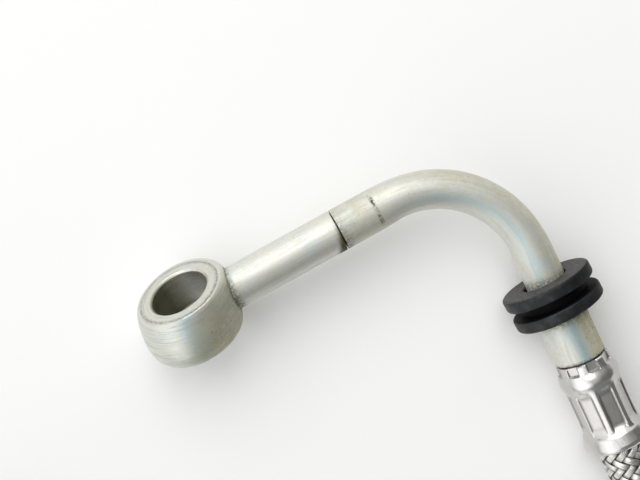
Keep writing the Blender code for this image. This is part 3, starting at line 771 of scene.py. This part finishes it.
# %% Rubber
RUBBER_BLACK = (0.011, 0.012, 0.013, 1.0)
RUBBER_BLOOM = (0.040, 0.042, 0.047, 1.0)
RUBBER_DUST = (0.13, 0.12, 0.115, 1.0)
RUBBER_SHADE_BLACK = (0.002, 0.002, 0.002, 1.0)


def rubber(name, bloom_high):
    material, wiring, shader = new_finish(name)
    between, mix, noise = wiring.between, wiring.mix, wiring.noise
    place = wiring.own_place()
    pores = noise(place, 5.0, 3.0, 0.6)
    shade = wiring.attribute("shade")
    colour = mix(between(noise(place, 0.35, 4.0, 0.6), 0.40, 0.70, 0.0, bloom_high),
                 RUBBER_BLACK, RUBBER_BLOOM)
    dusty = wiring.attribute("stain_and_shade") * between(noise(place, 1.2, 5.0, 0.7), 0.35, 0.75)
    flecks = between(noise(place, 2.8, 1.0), 0.76, 0.80, 0.0, 0.5)
    colour = mix(flecks, mix(dusty, colour, RUBBER_DUST), RUBBER_DUST)
    # Painted shade darkens the rubber and dulls its gloss.
    wiring.feed(shader, {
        "Base Color": mix(shade, colour, RUBBER_SHADE_BLACK),
        "Specular IOR Level": 0.30 - shade * 0.22,
        "Roughness": between(pores, 0.3, 0.7, 0.44, 0.60),
        "Normal": wiring.bump(pores, 0.35, 0.05 * mm)})
    return material


grommet_rubber = rubber("grommet_rubber", 0.7)
liner_rubber = rubber("liner_rubber", 0.0)
print("rubber: grommet and liner")

# %% Grommet
GROMMET_R = 11.35 * mm
GROMMET_GROOVE_HALF = 1.15 * mm
GROMMET_HOLE_R = 5.55 * mm
GROMMET_GROOVE_R = 8.6 * mm
GROMMET_ROUND = 0.7 * mm
ROUND_STEPS = 6
FACE_EDGE = 0.2 * mm


def rounded_flange(top, bottom):
    """The outer side of a flange, with two round edges."""
    inner = GROMMET_R - GROMMET_ROUND
    side = []
    for centre, start in ((top - GROMMET_ROUND, math.pi / 2), (bottom + GROMMET_ROUND, 0.0)):
        for step in range(ROUND_STEPS + 1):
            angle = start - step / ROUND_STEPS * math.pi / 2
            side.append((inner + GROMMET_ROUND * math.cos(angle),
                         centre + GROMMET_ROUND * math.sin(angle)))
    return side


def add_grommet(name, place):
    half, groove, hole = GROMMET_THICK / 2, GROMMET_GROOVE_HALF, GROMMET_HOLE_R
    outline = (rounded_flange(half, groove)
               + [(GROMMET_GROOVE_R, groove), (GROMMET_GROOVE_R, -groove)]
               + rounded_flange(-groove, -half)
               + [(hole + GAP, -half), (hole, -half + GAP), (hole, half - GAP),
                  (hole + GAP, half)])
    mesh = turned(name, outline, FINE_STEPS, OUTLINE_STEP)
    spots = points_of(mesh)
    top_face = (spots[:, 2] > half - FACE_EDGE) * 1.0
    in_groove = (np.abs(spots[:, 2]) < groove + GROMMET_ROUND / 2) * 1.0
    right = ramp(spots[:, 1] / GROMMET_R, -0.3, 1.0) * (1 - top_face)
    keep_values(mesh, "stain_and_shade", 0.75 * top_face)
    # Shade is painted in the groove and over the right side.
    keep_values(mesh, "shade", np.maximum(in_groove, 0.75 * right))
    return new_piece(name + "_fine", mesh, place, grommet_rubber, "black_rubber", name)


add_grommet("rubber_grommet", GROMMET_PLACE)

# %% [markdown]
# ## The hose nipple
#
# Above the shoulder it is a plain collar, brazed on the tube. Below, hidden in the hose, a neck
# takes the ferrule's lip and a barbed tail holds the liner.

# %% Hose nipple
COLLAR_R = 6.27 * mm
COLLAR_CHAMFER = 0.3 * mm
TUBE_SOCKET = 9.6 * mm
NECK_R = 4.9 * mm
TAIL_R = 3.35 * mm
BARB_R = 3.7 * mm
BARB_PITCH = 4.0 * mm
BARBS = 4
BARB_FOOT, BARB_CREST, BARB_TAPER = 0.25, 0.3, 0.95
TAIL_LENGTH = 19.4 * mm
NIPPLE_BORE_R = 2.6 * mm
LIP_THICK = 2.1 * mm
NIPPLE_STEPS = 128
NIPPLE_STEP = 0.6 * mm
SHOULDER_DIRT_WIDTH = 0.5 * mm
COLLAR_DIRT_WIDTH = 1.5 * mm


def add_nipple(name, place):
    neck, socket = LIP_THICK + 2 * GAP, LEG_R + GAP / 3
    outline = [(COLLAR_R - COLLAR_CHAMFER, COLLAR_LENGTH),
               (COLLAR_R, COLLAR_LENGTH - COLLAR_CHAMFER), (COLLAR_R, COLLAR_CHAMFER),
               (COLLAR_R - COLLAR_CHAMFER, 0.0), (NECK_R, 0.0), (NECK_R, -neck),
               (TAIL_R, -neck)]
    for index in range(BARBS):
        top = -neck - BARB_PITCH * index
        outline += [(TAIL_R, top - BARB_PITCH * BARB_FOOT),
                    (BARB_R, top - BARB_PITCH * BARB_CREST),
                    (TAIL_R, top - BARB_PITCH * BARB_TAPER)]
    outline += [(TAIL_R - END_CHAMFER, -TAIL_LENGTH), (NIPPLE_BORE_R, -TAIL_LENGTH),
                (NIPPLE_BORE_R, COLLAR_LENGTH - TUBE_SOCKET),
                (socket, COLLAR_LENGTH - TUBE_SOCKET), (socket, COLLAR_LENGTH)]
    mesh = turned(name, outline, NIPPLE_STEPS, NIPPLE_STEP)
    spots = points_of(mesh)
    height = spots[:, 2]
    lower = near_to(height, SHOULDER_DIRT_WIDTH)
    upper = near_to(height - COLLAR_LENGTH, COLLAR_DIRT_WIDTH)
    across = spots[:, 1] / COLLAR_R
    right = ramp(across, 0.10, 0.15)
    keep_values(mesh, "grime_and_shade", 0.9 * lower + 0.7 * upper)
    # Near the top the stain is dirt; the olive on the collar's right side is painted shade, and a
    # teal reflection is painted in a strip.
    keep_values(mesh, "stain_and_shade", 0.45 * upper + 0.75 * right)
    keep_values(mesh, "teal_reflection", 0.8 * near_to(across + 0.10, 0.22) * (spots[:, 0] > 0))
    return new_piece(name + "_fine", mesh, place, drawn_steel, "plated_steel", name)


add_nipple("hose_nipple", NIPPLE_PLACE)
far_nipple = add_nipple("far_hose_nipple", FAR_NIPPLE_PLACE)

# %% [markdown]
# ## The crimped ferrule
#
# The ferrule starts as a turned sleeve. Eight jaws of a press then squeeze it onto the hose, and
# leave eight flat flutes with narrow ridges between them. Near the upper edge, eight shorter jaws
# press the lip into the nipple's neck. What the jaws do follows a rule, so Geometry Nodes do it
# here: a tree takes the turned blank and moves each point that lies under a jaw down to the jaw's
# flat floor. The same tree serves the flutes and the notches, with other sizes.

# %% Press with jaws, as a Geometry Nodes tree


def new_tree(name, inputs):
    """A Geometry Nodes tree, its wiring, and a way to get at its named inputs."""
    tree = bpy.data.node_groups.new(name, "GeometryNodeTree")
    for label, kind in {"Geometry": "Geometry", **inputs}.items():
        tree.interface.new_socket(name=label, in_out="INPUT", socket_type="NodeSocket" + kind)
    tree.interface.new_socket(name="Geometry", in_out="OUTPUT",
                              socket_type="NodeSocketGeometry")
    wiring = Wiring(tree)
    source = tree.nodes.new("NodeGroupInput")

    def given(label):
        return Value(wiring, source.outputs[label])

    return tree, wiring, given


def end_tree(wiring, geometry, material):
    """Every tree ends in real geometry with a material."""
    real = wiring.add("GeometryNodeRealizeInstances", {"Geometry": geometry}).outputs[0]
    finished = wiring.add("GeometryNodeSetMaterial", {"Geometry": real,
                                                      "Material": material}).outputs[0]
    wiring.add("NodeGroupOutput", {0: finished})


def use_tree(passing, tree, values):
    """A modifier's inputs are set by the sockets' identifiers, before it first runs."""
    modifier = passing.modifiers.new(tree.name, "NODES")
    modifier.node_group = tree
    for item in tree.interface.items_tree:
        if item.in_out == "INPUT" and item.name in values:
            modifier[item.identifier] = values[item.name]


def jaw_press(material):
    tree, wiring, given = new_tree("jaw_press", {
        "Jaws": "Float", "Half Width": "Float", "Middle": "Float", "Half Length": "Float",
        "Floor Radius": "Float", "Side": "Float", "End": "Float"})
    m = wiring.math
    x, y, z = wiring.split_xyz(wiring.add("GeometryNodeInputPosition").outputs[0])
    sector = 2 * math.pi / given("Jaws")
    angle = m("ARCTAN2", y, x)
    nearest = m("ROUND", angle / sector) * sector
    off = angle - nearest
    radius = m("SQRT", x * x + y * y)
    aside = radius * m("SINE", off)
    outward = radius * m("COSINE", off)

    def under(distance, half, edge):
        """1 under the jaw, falling softly to 0 over its edge."""
        return wiring.between(m("ABSOLUTE", distance), half, half + edge, 1.0, 0.0)

    pressed = (under(aside, given("Half Width"), given("Side"))
               * under(z - given("Middle"), given("Half Length"), given("End")))
    lowered = m("MINIMUM", outward, given("Floor Radius"))
    outward = outward + (lowered - outward) * pressed
    cosine, sine = m("COSINE", nearest), m("SINE", nearest)
    place = wiring.join_xyz(outward * cosine - aside * sine,
                            outward * sine + aside * cosine, z)
    moved = wiring.add("GeometryNodeSetPosition", {"Geometry": given("Geometry"),
                                                   "Position": place})
    end_tree(wiring, moved.outputs[0], material)
    return tree


# %% [markdown]
# The ferrule is bright stainless steel, smoother than the plated pieces. Its flutes are a little
# duller, painted shade lies in their corners and along their sides and ends, and on the left edge
# and the right side of the ferrule, and fine scratches run along it.

# %% Ferrule steel
FERRULE_BRIGHT = (0.80, 0.78, 0.77, 1.0)
FERRULE_WARM = (0.62, 0.59, 0.56, 1.0)
FERRULE_DARK = (0.20, 0.195, 0.19, 1.0)
FERRULE_CORNER_SHADE = (0.10, 0.085, 0.075, 1.0)


def ferrule_steel(name):
    material, wiring, shader = new_finish(name)
    between, mix, noise = wiring.between, wiring.mix, wiring.noise
    place = wiring.own_place()
    scratches = noise(wiring.vector("MULTIPLY", place, (2.2, 2.2, 0.3)), 1.0, 3.0, 0.6)
    grime_and_shade = wiring.math("MULTIPLY", wiring.attribute("grime_and_shade"),
                        between(noise(place, 1.8, 4.0, 0.7), 0.30, 0.60), clamp=True)
    flute = wiring.attribute("stain_and_shade")
    colour = mix(between(noise(place, 0.9, 4.0, 0.6), 0.30, 0.75, 0.0, 0.35),
                 FERRULE_BRIGHT, FERRULE_WARM)
    colour = mix(flute * 0.35, colour, FERRULE_WARM)
    # The shade layer is painted shade, and so is the dark of the flute corners.
    colour = mix(wiring.attribute("shade"), colour, FERRULE_DARK)
    wiring.feed(shader, {
        "Base Color": mix(grime_and_shade, colour, FERRULE_CORNER_SHADE),
        "Metallic": between(grime_and_shade, 0.0, 1.0, 1.0, 0.4),
        "Roughness": between(scratches, 0.3, 0.7, 0.17, 0.27) + flute * 0.14,
        "Normal": wiring.bump(scratches, 0.4, 0.015 * mm)})
    return material


crimped_steel = ferrule_steel("crimped_steel")
press = jaw_press(crimped_steel)

# %% Crimped ferrule
LIP_R = 6.55 * mm
LIP_EDGE = 0.3 * mm
LIP_GROWTH = 0.25 * mm
BULGE_R = 7.45 * mm
BULGE_AT = 4.8 * mm
WAIST_R = 6.95 * mm
WAIST_START = 7.9 * mm
WAIST_END = 16.9 * mm
MOUTH_R = 8.28 * mm
MOUTH_AT = 21.4 * mm
MOUTH_EDGE = 0.4 * mm
MOUTH_WALL = 0.9 * mm
OUTER_SKIN_R = 5.9 * mm           # beyond it lies the outside
SLEEVE_SPANS = 16
FLUTE_CORNER = 0.3 * mm           # how wide painted shade lies in the corners
NOTCH_CORNER = 0.15 * mm
FERRULE_STEPS = 256
FERRULE_STEP = 0.2 * mm
CAVITY = [(6.1 * mm, 2.1 * mm), (6.1 * mm, 6.5 * mm), (5.6 * mm, 7.9 * mm),
          (5.6 * mm, 16.9 * mm), (6.4 * mm, 19.2 * mm)]
FLUTES = {"Jaws": 8.0, "Half Width": 1.5 * mm, "Middle": -12.5 * mm,
          "Half Length": 3.8 * mm, "Floor Radius": 6.25 * mm, "Side": 0.75 * mm,
          "End": 2.4 * mm}
NOTCHES = {"Jaws": 8.0, "Half Width": 1.2 * mm, "Middle": 0.0, "Half Length": 2.0 * mm,
           "Floor Radius": 6.05 * mm, "Side": 0.35 * mm, "End": 0.35 * mm}


def add_ferrule(name, place):
    """Turn the blank sleeve, press flutes and notches into it, and say where its flutes are and
    where shade is painted on it.
    """
    stations = [(LIP_R, LIP_EDGE), (LIP_R + LIP_GROWTH, LIP_THICK), (BULGE_R, BULGE_AT),
                (WAIST_R, WAIST_START), (WAIST_R, WAIST_END),
                ((WAIST_R + MOUTH_R) / 2, (WAIST_END + MOUTH_AT) / 2), (MOUTH_R, MOUTH_AT)]
    side = [(LIP_R - LIP_EDGE, 0.0)]
    side += [tuple(point) for point in smooth_line([Vector(s) for s in stations],
                                                   SLEEVE_SPANS)]
    side += [(MOUTH_R - MOUTH_EDGE / 4, FERRULE_LENGTH - MOUTH_EDGE),
             (MOUTH_R - MOUTH_EDGE, FERRULE_LENGTH), (MOUTH_R - MOUTH_WALL, FERRULE_LENGTH)]
    lip_hole = NECK_R + GAP
    inner = list(reversed(CAVITY)) + [(lip_hole, LIP_THICK), (lip_hole, 0.0)]
    blank = turned(name, [(radius, -station) for radius, station in side + inner],
                   FERRULE_STEPS, FERRULE_STEP)

    def press_both(passing):
        use_tree(passing, press, FLUTES)
        use_tree(passing, press, NOTCHES)

    mesh = settled(blank, press_both)
    spots = points_of(mesh)
    radius = np.hypot(spots[:, 0], spots[:, 1])
    sector = 2 * math.pi / FLUTES["Jaws"]
    angle = np.arctan2(spots[:, 1], spots[:, 0])
    aside = radius * np.sin(np.abs(angle - np.round(angle / sector) * sector))
    outside = radius > OUTER_SKIN_R
    grime_and_shade, flute, shade = np.zeros((3, len(spots)))
    # Shade is painted along the sides and ends of each flute and notch, darkest in the corners.
    for jaw, corner in ((FLUTES, FLUTE_CORNER), (NOTCHES, NOTCH_CORNER)):
        across = aside - jaw["Half Width"]
        along = np.abs(spots[:, 2] - jaw["Middle"]) - jaw["Half Length"]
        within = 1 - ramp(along, 0.0, 4 * corner)
        on_side = near_to(across - corner / 2, corner) * within
        on_end = near_to(along - corner, 2 * corner) * (1 - ramp(across, 0.0, corner))
        grime_and_shade = np.maximum(grime_and_shade, on_side * outside)
        shade = np.maximum(shade, np.maximum(0.8 * on_side, 0.35 * on_end) * outside)
        flute = np.maximum(flute, (across < 0) * within * outside)
    # Painted shade along the left edge and over the right side.
    rightward = spots[:, 1] / WAIST_R
    shade = np.maximum(shade, 0.35 * near_to(rightward + 1.0, 0.22) * outside)
    shade = np.maximum(shade, 0.45 * ramp(rightward, 0.25, 0.5) * outside)
    keep_values(mesh, "grime_and_shade", 0.35 * grime_and_shade)
    keep_values(mesh, "shade", shade)
    keep_values(mesh, "stain_and_shade", flute)
    return new_piece(name + "_fine", mesh, place, crimped_steel, "ferrule_steel", name)


add_ferrule("crimp_ferrule", FERRULE_PLACE)
far_ferrule = add_ferrule("far_crimp_ferrule", FAR_FERRULE_PLACE)

# %% [markdown]
# ## The braid of the hose
#
# Twenty-four flat bundles of steel wire wind round the hose, twelve each way. Each bundle passes
# over two others and then under two. That is a rule along a path, so a Geometry Nodes tree makes
# it: a grid gives every point of every bundle, the faces between bundles are taken away, and each
# point is set on the hose's line at its run, its angle and its height over the liner.

# %% Wire of the braid
WIRE_BRIGHT = (0.95, 0.94, 0.91, 1.0)
WIRE_DULL = (0.50, 0.46, 0.39, 1.0)
WIRE_DARK = (0.07, 0.058, 0.042, 1.0)
WIRES_PER_BUNDLE = 5.0
BUNDLE_WIDTH = 1.62 * mm


def braid_wire(name):
    material, wiring, shader = new_finish(name)
    between, mix = wiring.between, wiring.mix
    place = wiring.own_place()
    across = wiring.split_xyz(place)[0]
    width = BUNDLE_WIDTH / mm
    wires = wiring.math("SINE", across * (2 * math.pi * WIRES_PER_BUNDLE / width))
    furrow = between(wires, -0.95, -0.3, 1.0, 0.0)
    depth = between(wiring.attribute("height"), -0.3, 0.7, 1.0, 0.0)
    edge = between(wiring.math("ABSOLUTE", across), 0.34 * width, 0.50 * width)
    colour = mix(between(wiring.noise(place, 0.8, 3.0), 0.35, 0.65, 0.0, 0.5), WIRE_BRIGHT,
                 WIRE_DULL)
    # Shade is painted between the wires, along each bundle's edges and where it dives under the
    # others.
    braid_shade = wiring.math("MAXIMUM", furrow * 0.35,
                       wiring.math("MAXIMUM", depth * 0.95, edge))
    wiring.feed(shader, {
        "Base Color": mix(braid_shade, colour, WIRE_DARK),
        "Metallic": between(braid_shade, 0.0, 1.0, 1.0, 0.6),
        "Roughness": between(braid_shade, 0.0, 1.0, 0.24, 0.55),
        "Normal": wiring.bump(wires, 0.7, 0.03 * mm)})
    return material


steel_wire = braid_wire("steel_wire")

# %% Braid, as a Geometry Nodes tree
CORNERS = 6                       # corners of a bundle's section
COLUMNS = CORNERS + 1             # the last column closes the section
WAVE_FLATNESS = 1.05              # a wave over 1 is cut flat
PATTERN_SHIFT = 3.0 * mm          # keeps the noise of one bundle unlike the next
WELD = 0.002 * mm


def braid_tree(material):
    tree, wiring, given = new_tree("wire_braid", {
        "Bundles Each Way": "Int", "Rows": "Int", "Pitch": "Float", "Radius": "Float",
        "Bundle Width": "Float", "Bundle Thickness": "Float", "Weave Height": "Float"})
    m = wiring.math
    bundles, rows, radius = given("Bundles Each Way"), given("Rows"), given("Radius")
    line = wiring.add("GeometryNodeMeshToCurve", {"Mesh": given("Geometry")}).outputs[0]
    length = wiring.value("GeometryNodeCurveLength", {"Curve": line})

    # A grid of bands, one for each bundle
    columns = bundles * (2 * COLUMNS)
    last = columns - 1
    grid = wiring.add("GeometryNodeMeshGrid", {"Size X": 1.0, "Size Y": last,
                                               "Vertices X": rows, "Vertices Y": columns})
    x, y, _ = wiring.split_xyz(wiring.add("GeometryNodeInputPosition").outputs[0])
    column = y + last / 2
    bridge = m("GREATER_THAN", m("FLOORED_MODULO", column, COLUMNS), COLUMNS - 1 + 0.1)
    bands = wiring.add("GeometryNodeDeleteGeometry",
                       {"Geometry": grid.outputs[0], "Selection": bridge},
                       domain="FACE", mode="ALL").outputs[0]

    # Which bundle and corner a point belongs to, and how far the bundle has turned there
    column = m("ROUND", column)
    bundle = m("FLOOR", (column + 0.5) / COLUMNS)
    corner = column - bundle * COLUMNS
    second = m("GREATER_THAN", bundle, bundles - 0.5)
    way = 1 - second * 2
    index = bundle - second * bundles
    row = x + 0.5
    run = row * length
    turn_per_metre = 2 * math.pi / given("Pitch")
    turn = run * turn_per_metre * way
    step = 2 * math.pi / bundles
    angle = turn + index * step

    # Over two, under two
    crossing = (angle + turn) / step
    phase = (crossing - index) * (way * (math.pi / 2))
    wave = m("COSINE", phase + math.pi / 4) * way
    wave = m("MINIMUM", m("MAXIMUM", wave * WAVE_FLATNESS, -1), 1)

    # The flat section of a bundle, drawn together at both ends
    section = corner * (2 * math.pi / CORNERS)
    open_end = m("MINIMUM", m("MINIMUM", row, 1 - row) * (rows - 1), 1)
    across = m("COSINE", section) * open_end * (given("Bundle Width") * 0.5)
    thick = m("SINE", section) * open_end * (given("Bundle Thickness") * 0.5)
    lean = m("ARCTANGENT", turn_per_metre * radius)
    place_run = run - across * way * m("SINE", lean)
    place_angle = angle + across * m("COSINE", lean) / radius
    reach = radius + thick + wave * given("Weave Height")

    # Its place round the hose's line
    sample = wiring.add("GeometryNodeSampleCurve", {"Curves": line, "Length": place_run},
                        mode="LENGTH")
    found = {socket.name: socket for socket in sample.outputs if socket.enabled}
    sideways = wiring.vector("CROSS_PRODUCT", found["Tangent"], found["Normal"])
    spoke = wiring.vector("ADD", wiring.scaled(found["Normal"], m("COSINE", place_angle)),
                          wiring.scaled(sideways, m("SINE", place_angle)))
    place = wiring.vector("ADD", found["Position"], wiring.scaled(spoke, reach))
    kept = bands
    for name, value, kind in (
            ("own_place", wiring.join_xyz(across, index * PATTERN_SHIFT, run), "FLOAT_VECTOR"),
            ("height", wave, "FLOAT")):
        kept = wiring.add("GeometryNodeStoreNamedAttribute",
                          {"Geometry": kept, "Name": name, "Value": value},
                          data_type=kind, domain="POINT").outputs[0]
    moved = wiring.add("GeometryNodeSetPosition", {"Geometry": kept, "Position": place})
    closed = wiring.add("GeometryNodeMergeByDistance", {"Geometry": moved.outputs[0],
                                                        "Distance": WELD})
    end_tree(wiring, closed.outputs[0], material)
    return tree


BRAID = {"Bundles Each Way": 12, "Rows": 600, "Pitch": 27.4 * mm, "Radius": 5.46 * mm,
         "Bundle Width": BUNDLE_WIDTH, "Bundle Thickness": 0.42 * mm,
         "Weave Height": 0.32 * mm}


def add_braid(name):
    """The hose's line as a thread of edges, wound with wire by the tree."""
    thread = bpy.data.meshes.new(name)
    thread.from_pydata(HOSE_LINE, [(i, i + 1) for i in range(len(HOSE_LINE) - 1)], [])
    tree = braid_tree(steel_wire)
    mesh = settled(thread, lambda passing: use_tree(passing, tree, BRAID))
    face_outwards(mesh)
    return new_piece(name, mesh, Matrix.Identity(4), steel_wire, "steel_braid",
                     "braided_hose")


braid = add_braid("hose_braid")

# %% [markdown]
# Under the braid lies the dark liner. It shows only in the small holes where four bundles meet, so
# it is a plain closed bar along the same line, without its bore.

# %% Liner under the braid
LINER_R = 5.0 * mm
LINER_SIDES = 32


def add_liner(name):
    """A closed round bar along the hose's line."""
    line = [Vector(point) for point in HOSE_LINE[::3]]
    if line[-1] != Vector(HOSE_LINE[-1]):
        line.append(Vector(HOSE_LINE[-1]))
    places, own, run = [], [], 0.0
    for index, centre in enumerate(line):
        way = (line[min(index + 1, len(line) - 1)] - line[max(index - 1, 0)]).normalized()
        aside = way.cross(UPRIGHT).normalized()
        above = aside.cross(way)
        run += (centre - line[max(index - 1, 0)]).length
        for side in range(LINER_SIDES):
            angle = 2 * math.pi * side / LINER_SIDES
            spoke = aside * math.cos(angle) + above * math.sin(angle)
            places.append(centre + spoke * LINER_R)
            own.append((LINER_R * math.cos(angle), LINER_R * math.sin(angle), run))
    faces = [tuple(range(LINER_SIDES))[::-1],
             tuple(range(len(places) - LINER_SIDES, len(places)))]
    for ring in range(len(line) - 1):
        for side in range(LINER_SIDES):
            here = ring * LINER_SIDES + side
            beside = ring * LINER_SIDES + (side + 1) % LINER_SIDES
            faces.append((here, beside, beside + LINER_SIDES, here + LINER_SIDES))
    mesh = new_mesh(name, places, faces, own)
    face_outwards(mesh)
    return new_piece(name, mesh, Matrix.Identity(4), liner_rubber, "hose_liner")


liner = add_liner("hose_liner")

# %% [markdown]

# %% [markdown]
# ## The pieces that stay CAD
#
# The pressed ends of the hose lie inside the ferrules and hardly show. Their CAD solids stay, and
# get the braid's and the liner's colours, with a noise on Object coordinates for the wires.

# %% Finish of the hidden ends


def hidden_finish(name, dark, light, metallic, roughness):
    material, wiring, shader = new_finish(name)
    place = wiring.add("ShaderNodeTexCoord").outputs["Object"]
    wires = wiring.noise(place, 1.2 / mm, 2.0)
    wiring.feed(shader, {
        "Base Color": wiring.mix(wiring.between(wires, 0.42, 0.58), dark, light),
        "Metallic": metallic,
        "Roughness": wiring.between(wires, 0.3, 0.7, roughness, roughness + 0.2)})
    return material


pressed_braid = hidden_finish("pressed_braid", WIRE_DARK, WIRE_DULL, 0.8, 0.35)
pressed_liner = hidden_finish("pressed_liner", RUBBER_BLACK, RUBBER_BLOOM, 0.0, 0.55)
for node, finish in (("braid_end", pressed_braid), ("far_braid_end", pressed_braid),
                     ("liner_end", pressed_liner), ("far_liner_end", pressed_liner)):
    for material_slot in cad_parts[node].material_slots:
        material_slot.material = finish
print("hidden ends finished")

# %% [markdown]
# ## The bench and the light
#
# The part lies on a white sheet. Soft light comes from the upper left of the picture, so the
# shadows fall softly to the lower right. Bright metal shows mostly what is around it: a white
# wall with a window to the lower left, a grey ceiling, and the darker room below and to the right.
# The world carries these as soft fields by direction. Low down it is pale, as the sheet is.

# %% Bench
BENCH_SIZE = 6.0
SHEET_WHITE = (0.935, 0.935, 0.935, 1.0)


def add_bench():
    mesh = bpy.data.meshes.new("bench_sheet")
    half = BENCH_SIZE / 2
    mesh.from_pydata([(-half, -half, 0), (half, -half, 0), (half, half, 0), (-half, half, 0)],
                     [], [(0, 1, 2, 3)])
    material, wiring, shader = new_finish("bench_sheet")
    wiring.feed(shader, {"Base Color": SHEET_WHITE, "Roughness": 0.7,
                         "Specular IOR Level": 0.2})
    mesh.materials.append(material)
    show("bench_sheet", mesh)


add_bench()

# %% Light
WORLD_WHITE = (0.95, 0.95, 0.95, 1.0)
# Each field: the direction it lies in, how wide it is (cosines of its soft edge), and its light
FIELDS = [((0.0, 0.0, 1.0), (0.60, 0.94), (0.52, 0.52, 0.50, 1.0)),
          ((-0.45, 0.75, 0.50), (0.60, 0.90), (0.76, 0.76, 0.73, 1.0)),
          ((0.80, -0.20, 0.35), (0.40, 0.80), (0.16, 0.16, 0.145, 1.0)),
          ((0.25, -0.85, 0.40), (0.62, 0.88), (0.20, 0.215, 0.215, 1.0)),
          ((-0.62, -0.62, 0.50), (0.70, 0.93), (1.40, 1.40, 1.39, 1.0))]
HORIZON_FADE = (0.02, 0.25)       # between these heights the fields fade into white
KEY_LIGHT_AT = (-0.35, 0.45, 0.75)
KEY_LIGHT_SIZE = 1.1
KEY_LIGHT_POWER = 5.4


def light_world():
    world = bpy.data.worlds.new("studio")
    bpy.context.scene.world = world
    world.use_nodes = True
    wiring = Wiring(world.node_tree)
    way = wiring.add("ShaderNodeTexCoord").outputs["Generated"]
    above = wiring.between(wiring.split_xyz(way)[2], *HORIZON_FADE)
    colour = WORLD_WHITE
    for direction, (edge, full), light in FIELDS:
        towards = wiring.add("ShaderNodeVectorMath",
                             {0: way, 1: Vector(direction).normalized()},
                             operation="DOT_PRODUCT").outputs["Value"]
        colour = wiring.mix(wiring.between(towards, edge, full) * above, colour, light)
    wiring.feed(world.node_tree.nodes["Background"], {"Color": colour})


def add_key_light():
    lamp = bpy.data.lights.new("key_light", "AREA")
    lamp.shape = "DISK"
    lamp.size = KEY_LIGHT_SIZE
    lamp.energy = KEY_LIGHT_POWER
    holder = show("key_light", lamp)
    holder.matrix_world = place_at(Vector(KEY_LIGHT_AT), Vector(KEY_LIGHT_AT), UPRIGHT)


light_world()
add_key_light()
bpy.context.scene.view_settings.view_transform = "Standard"
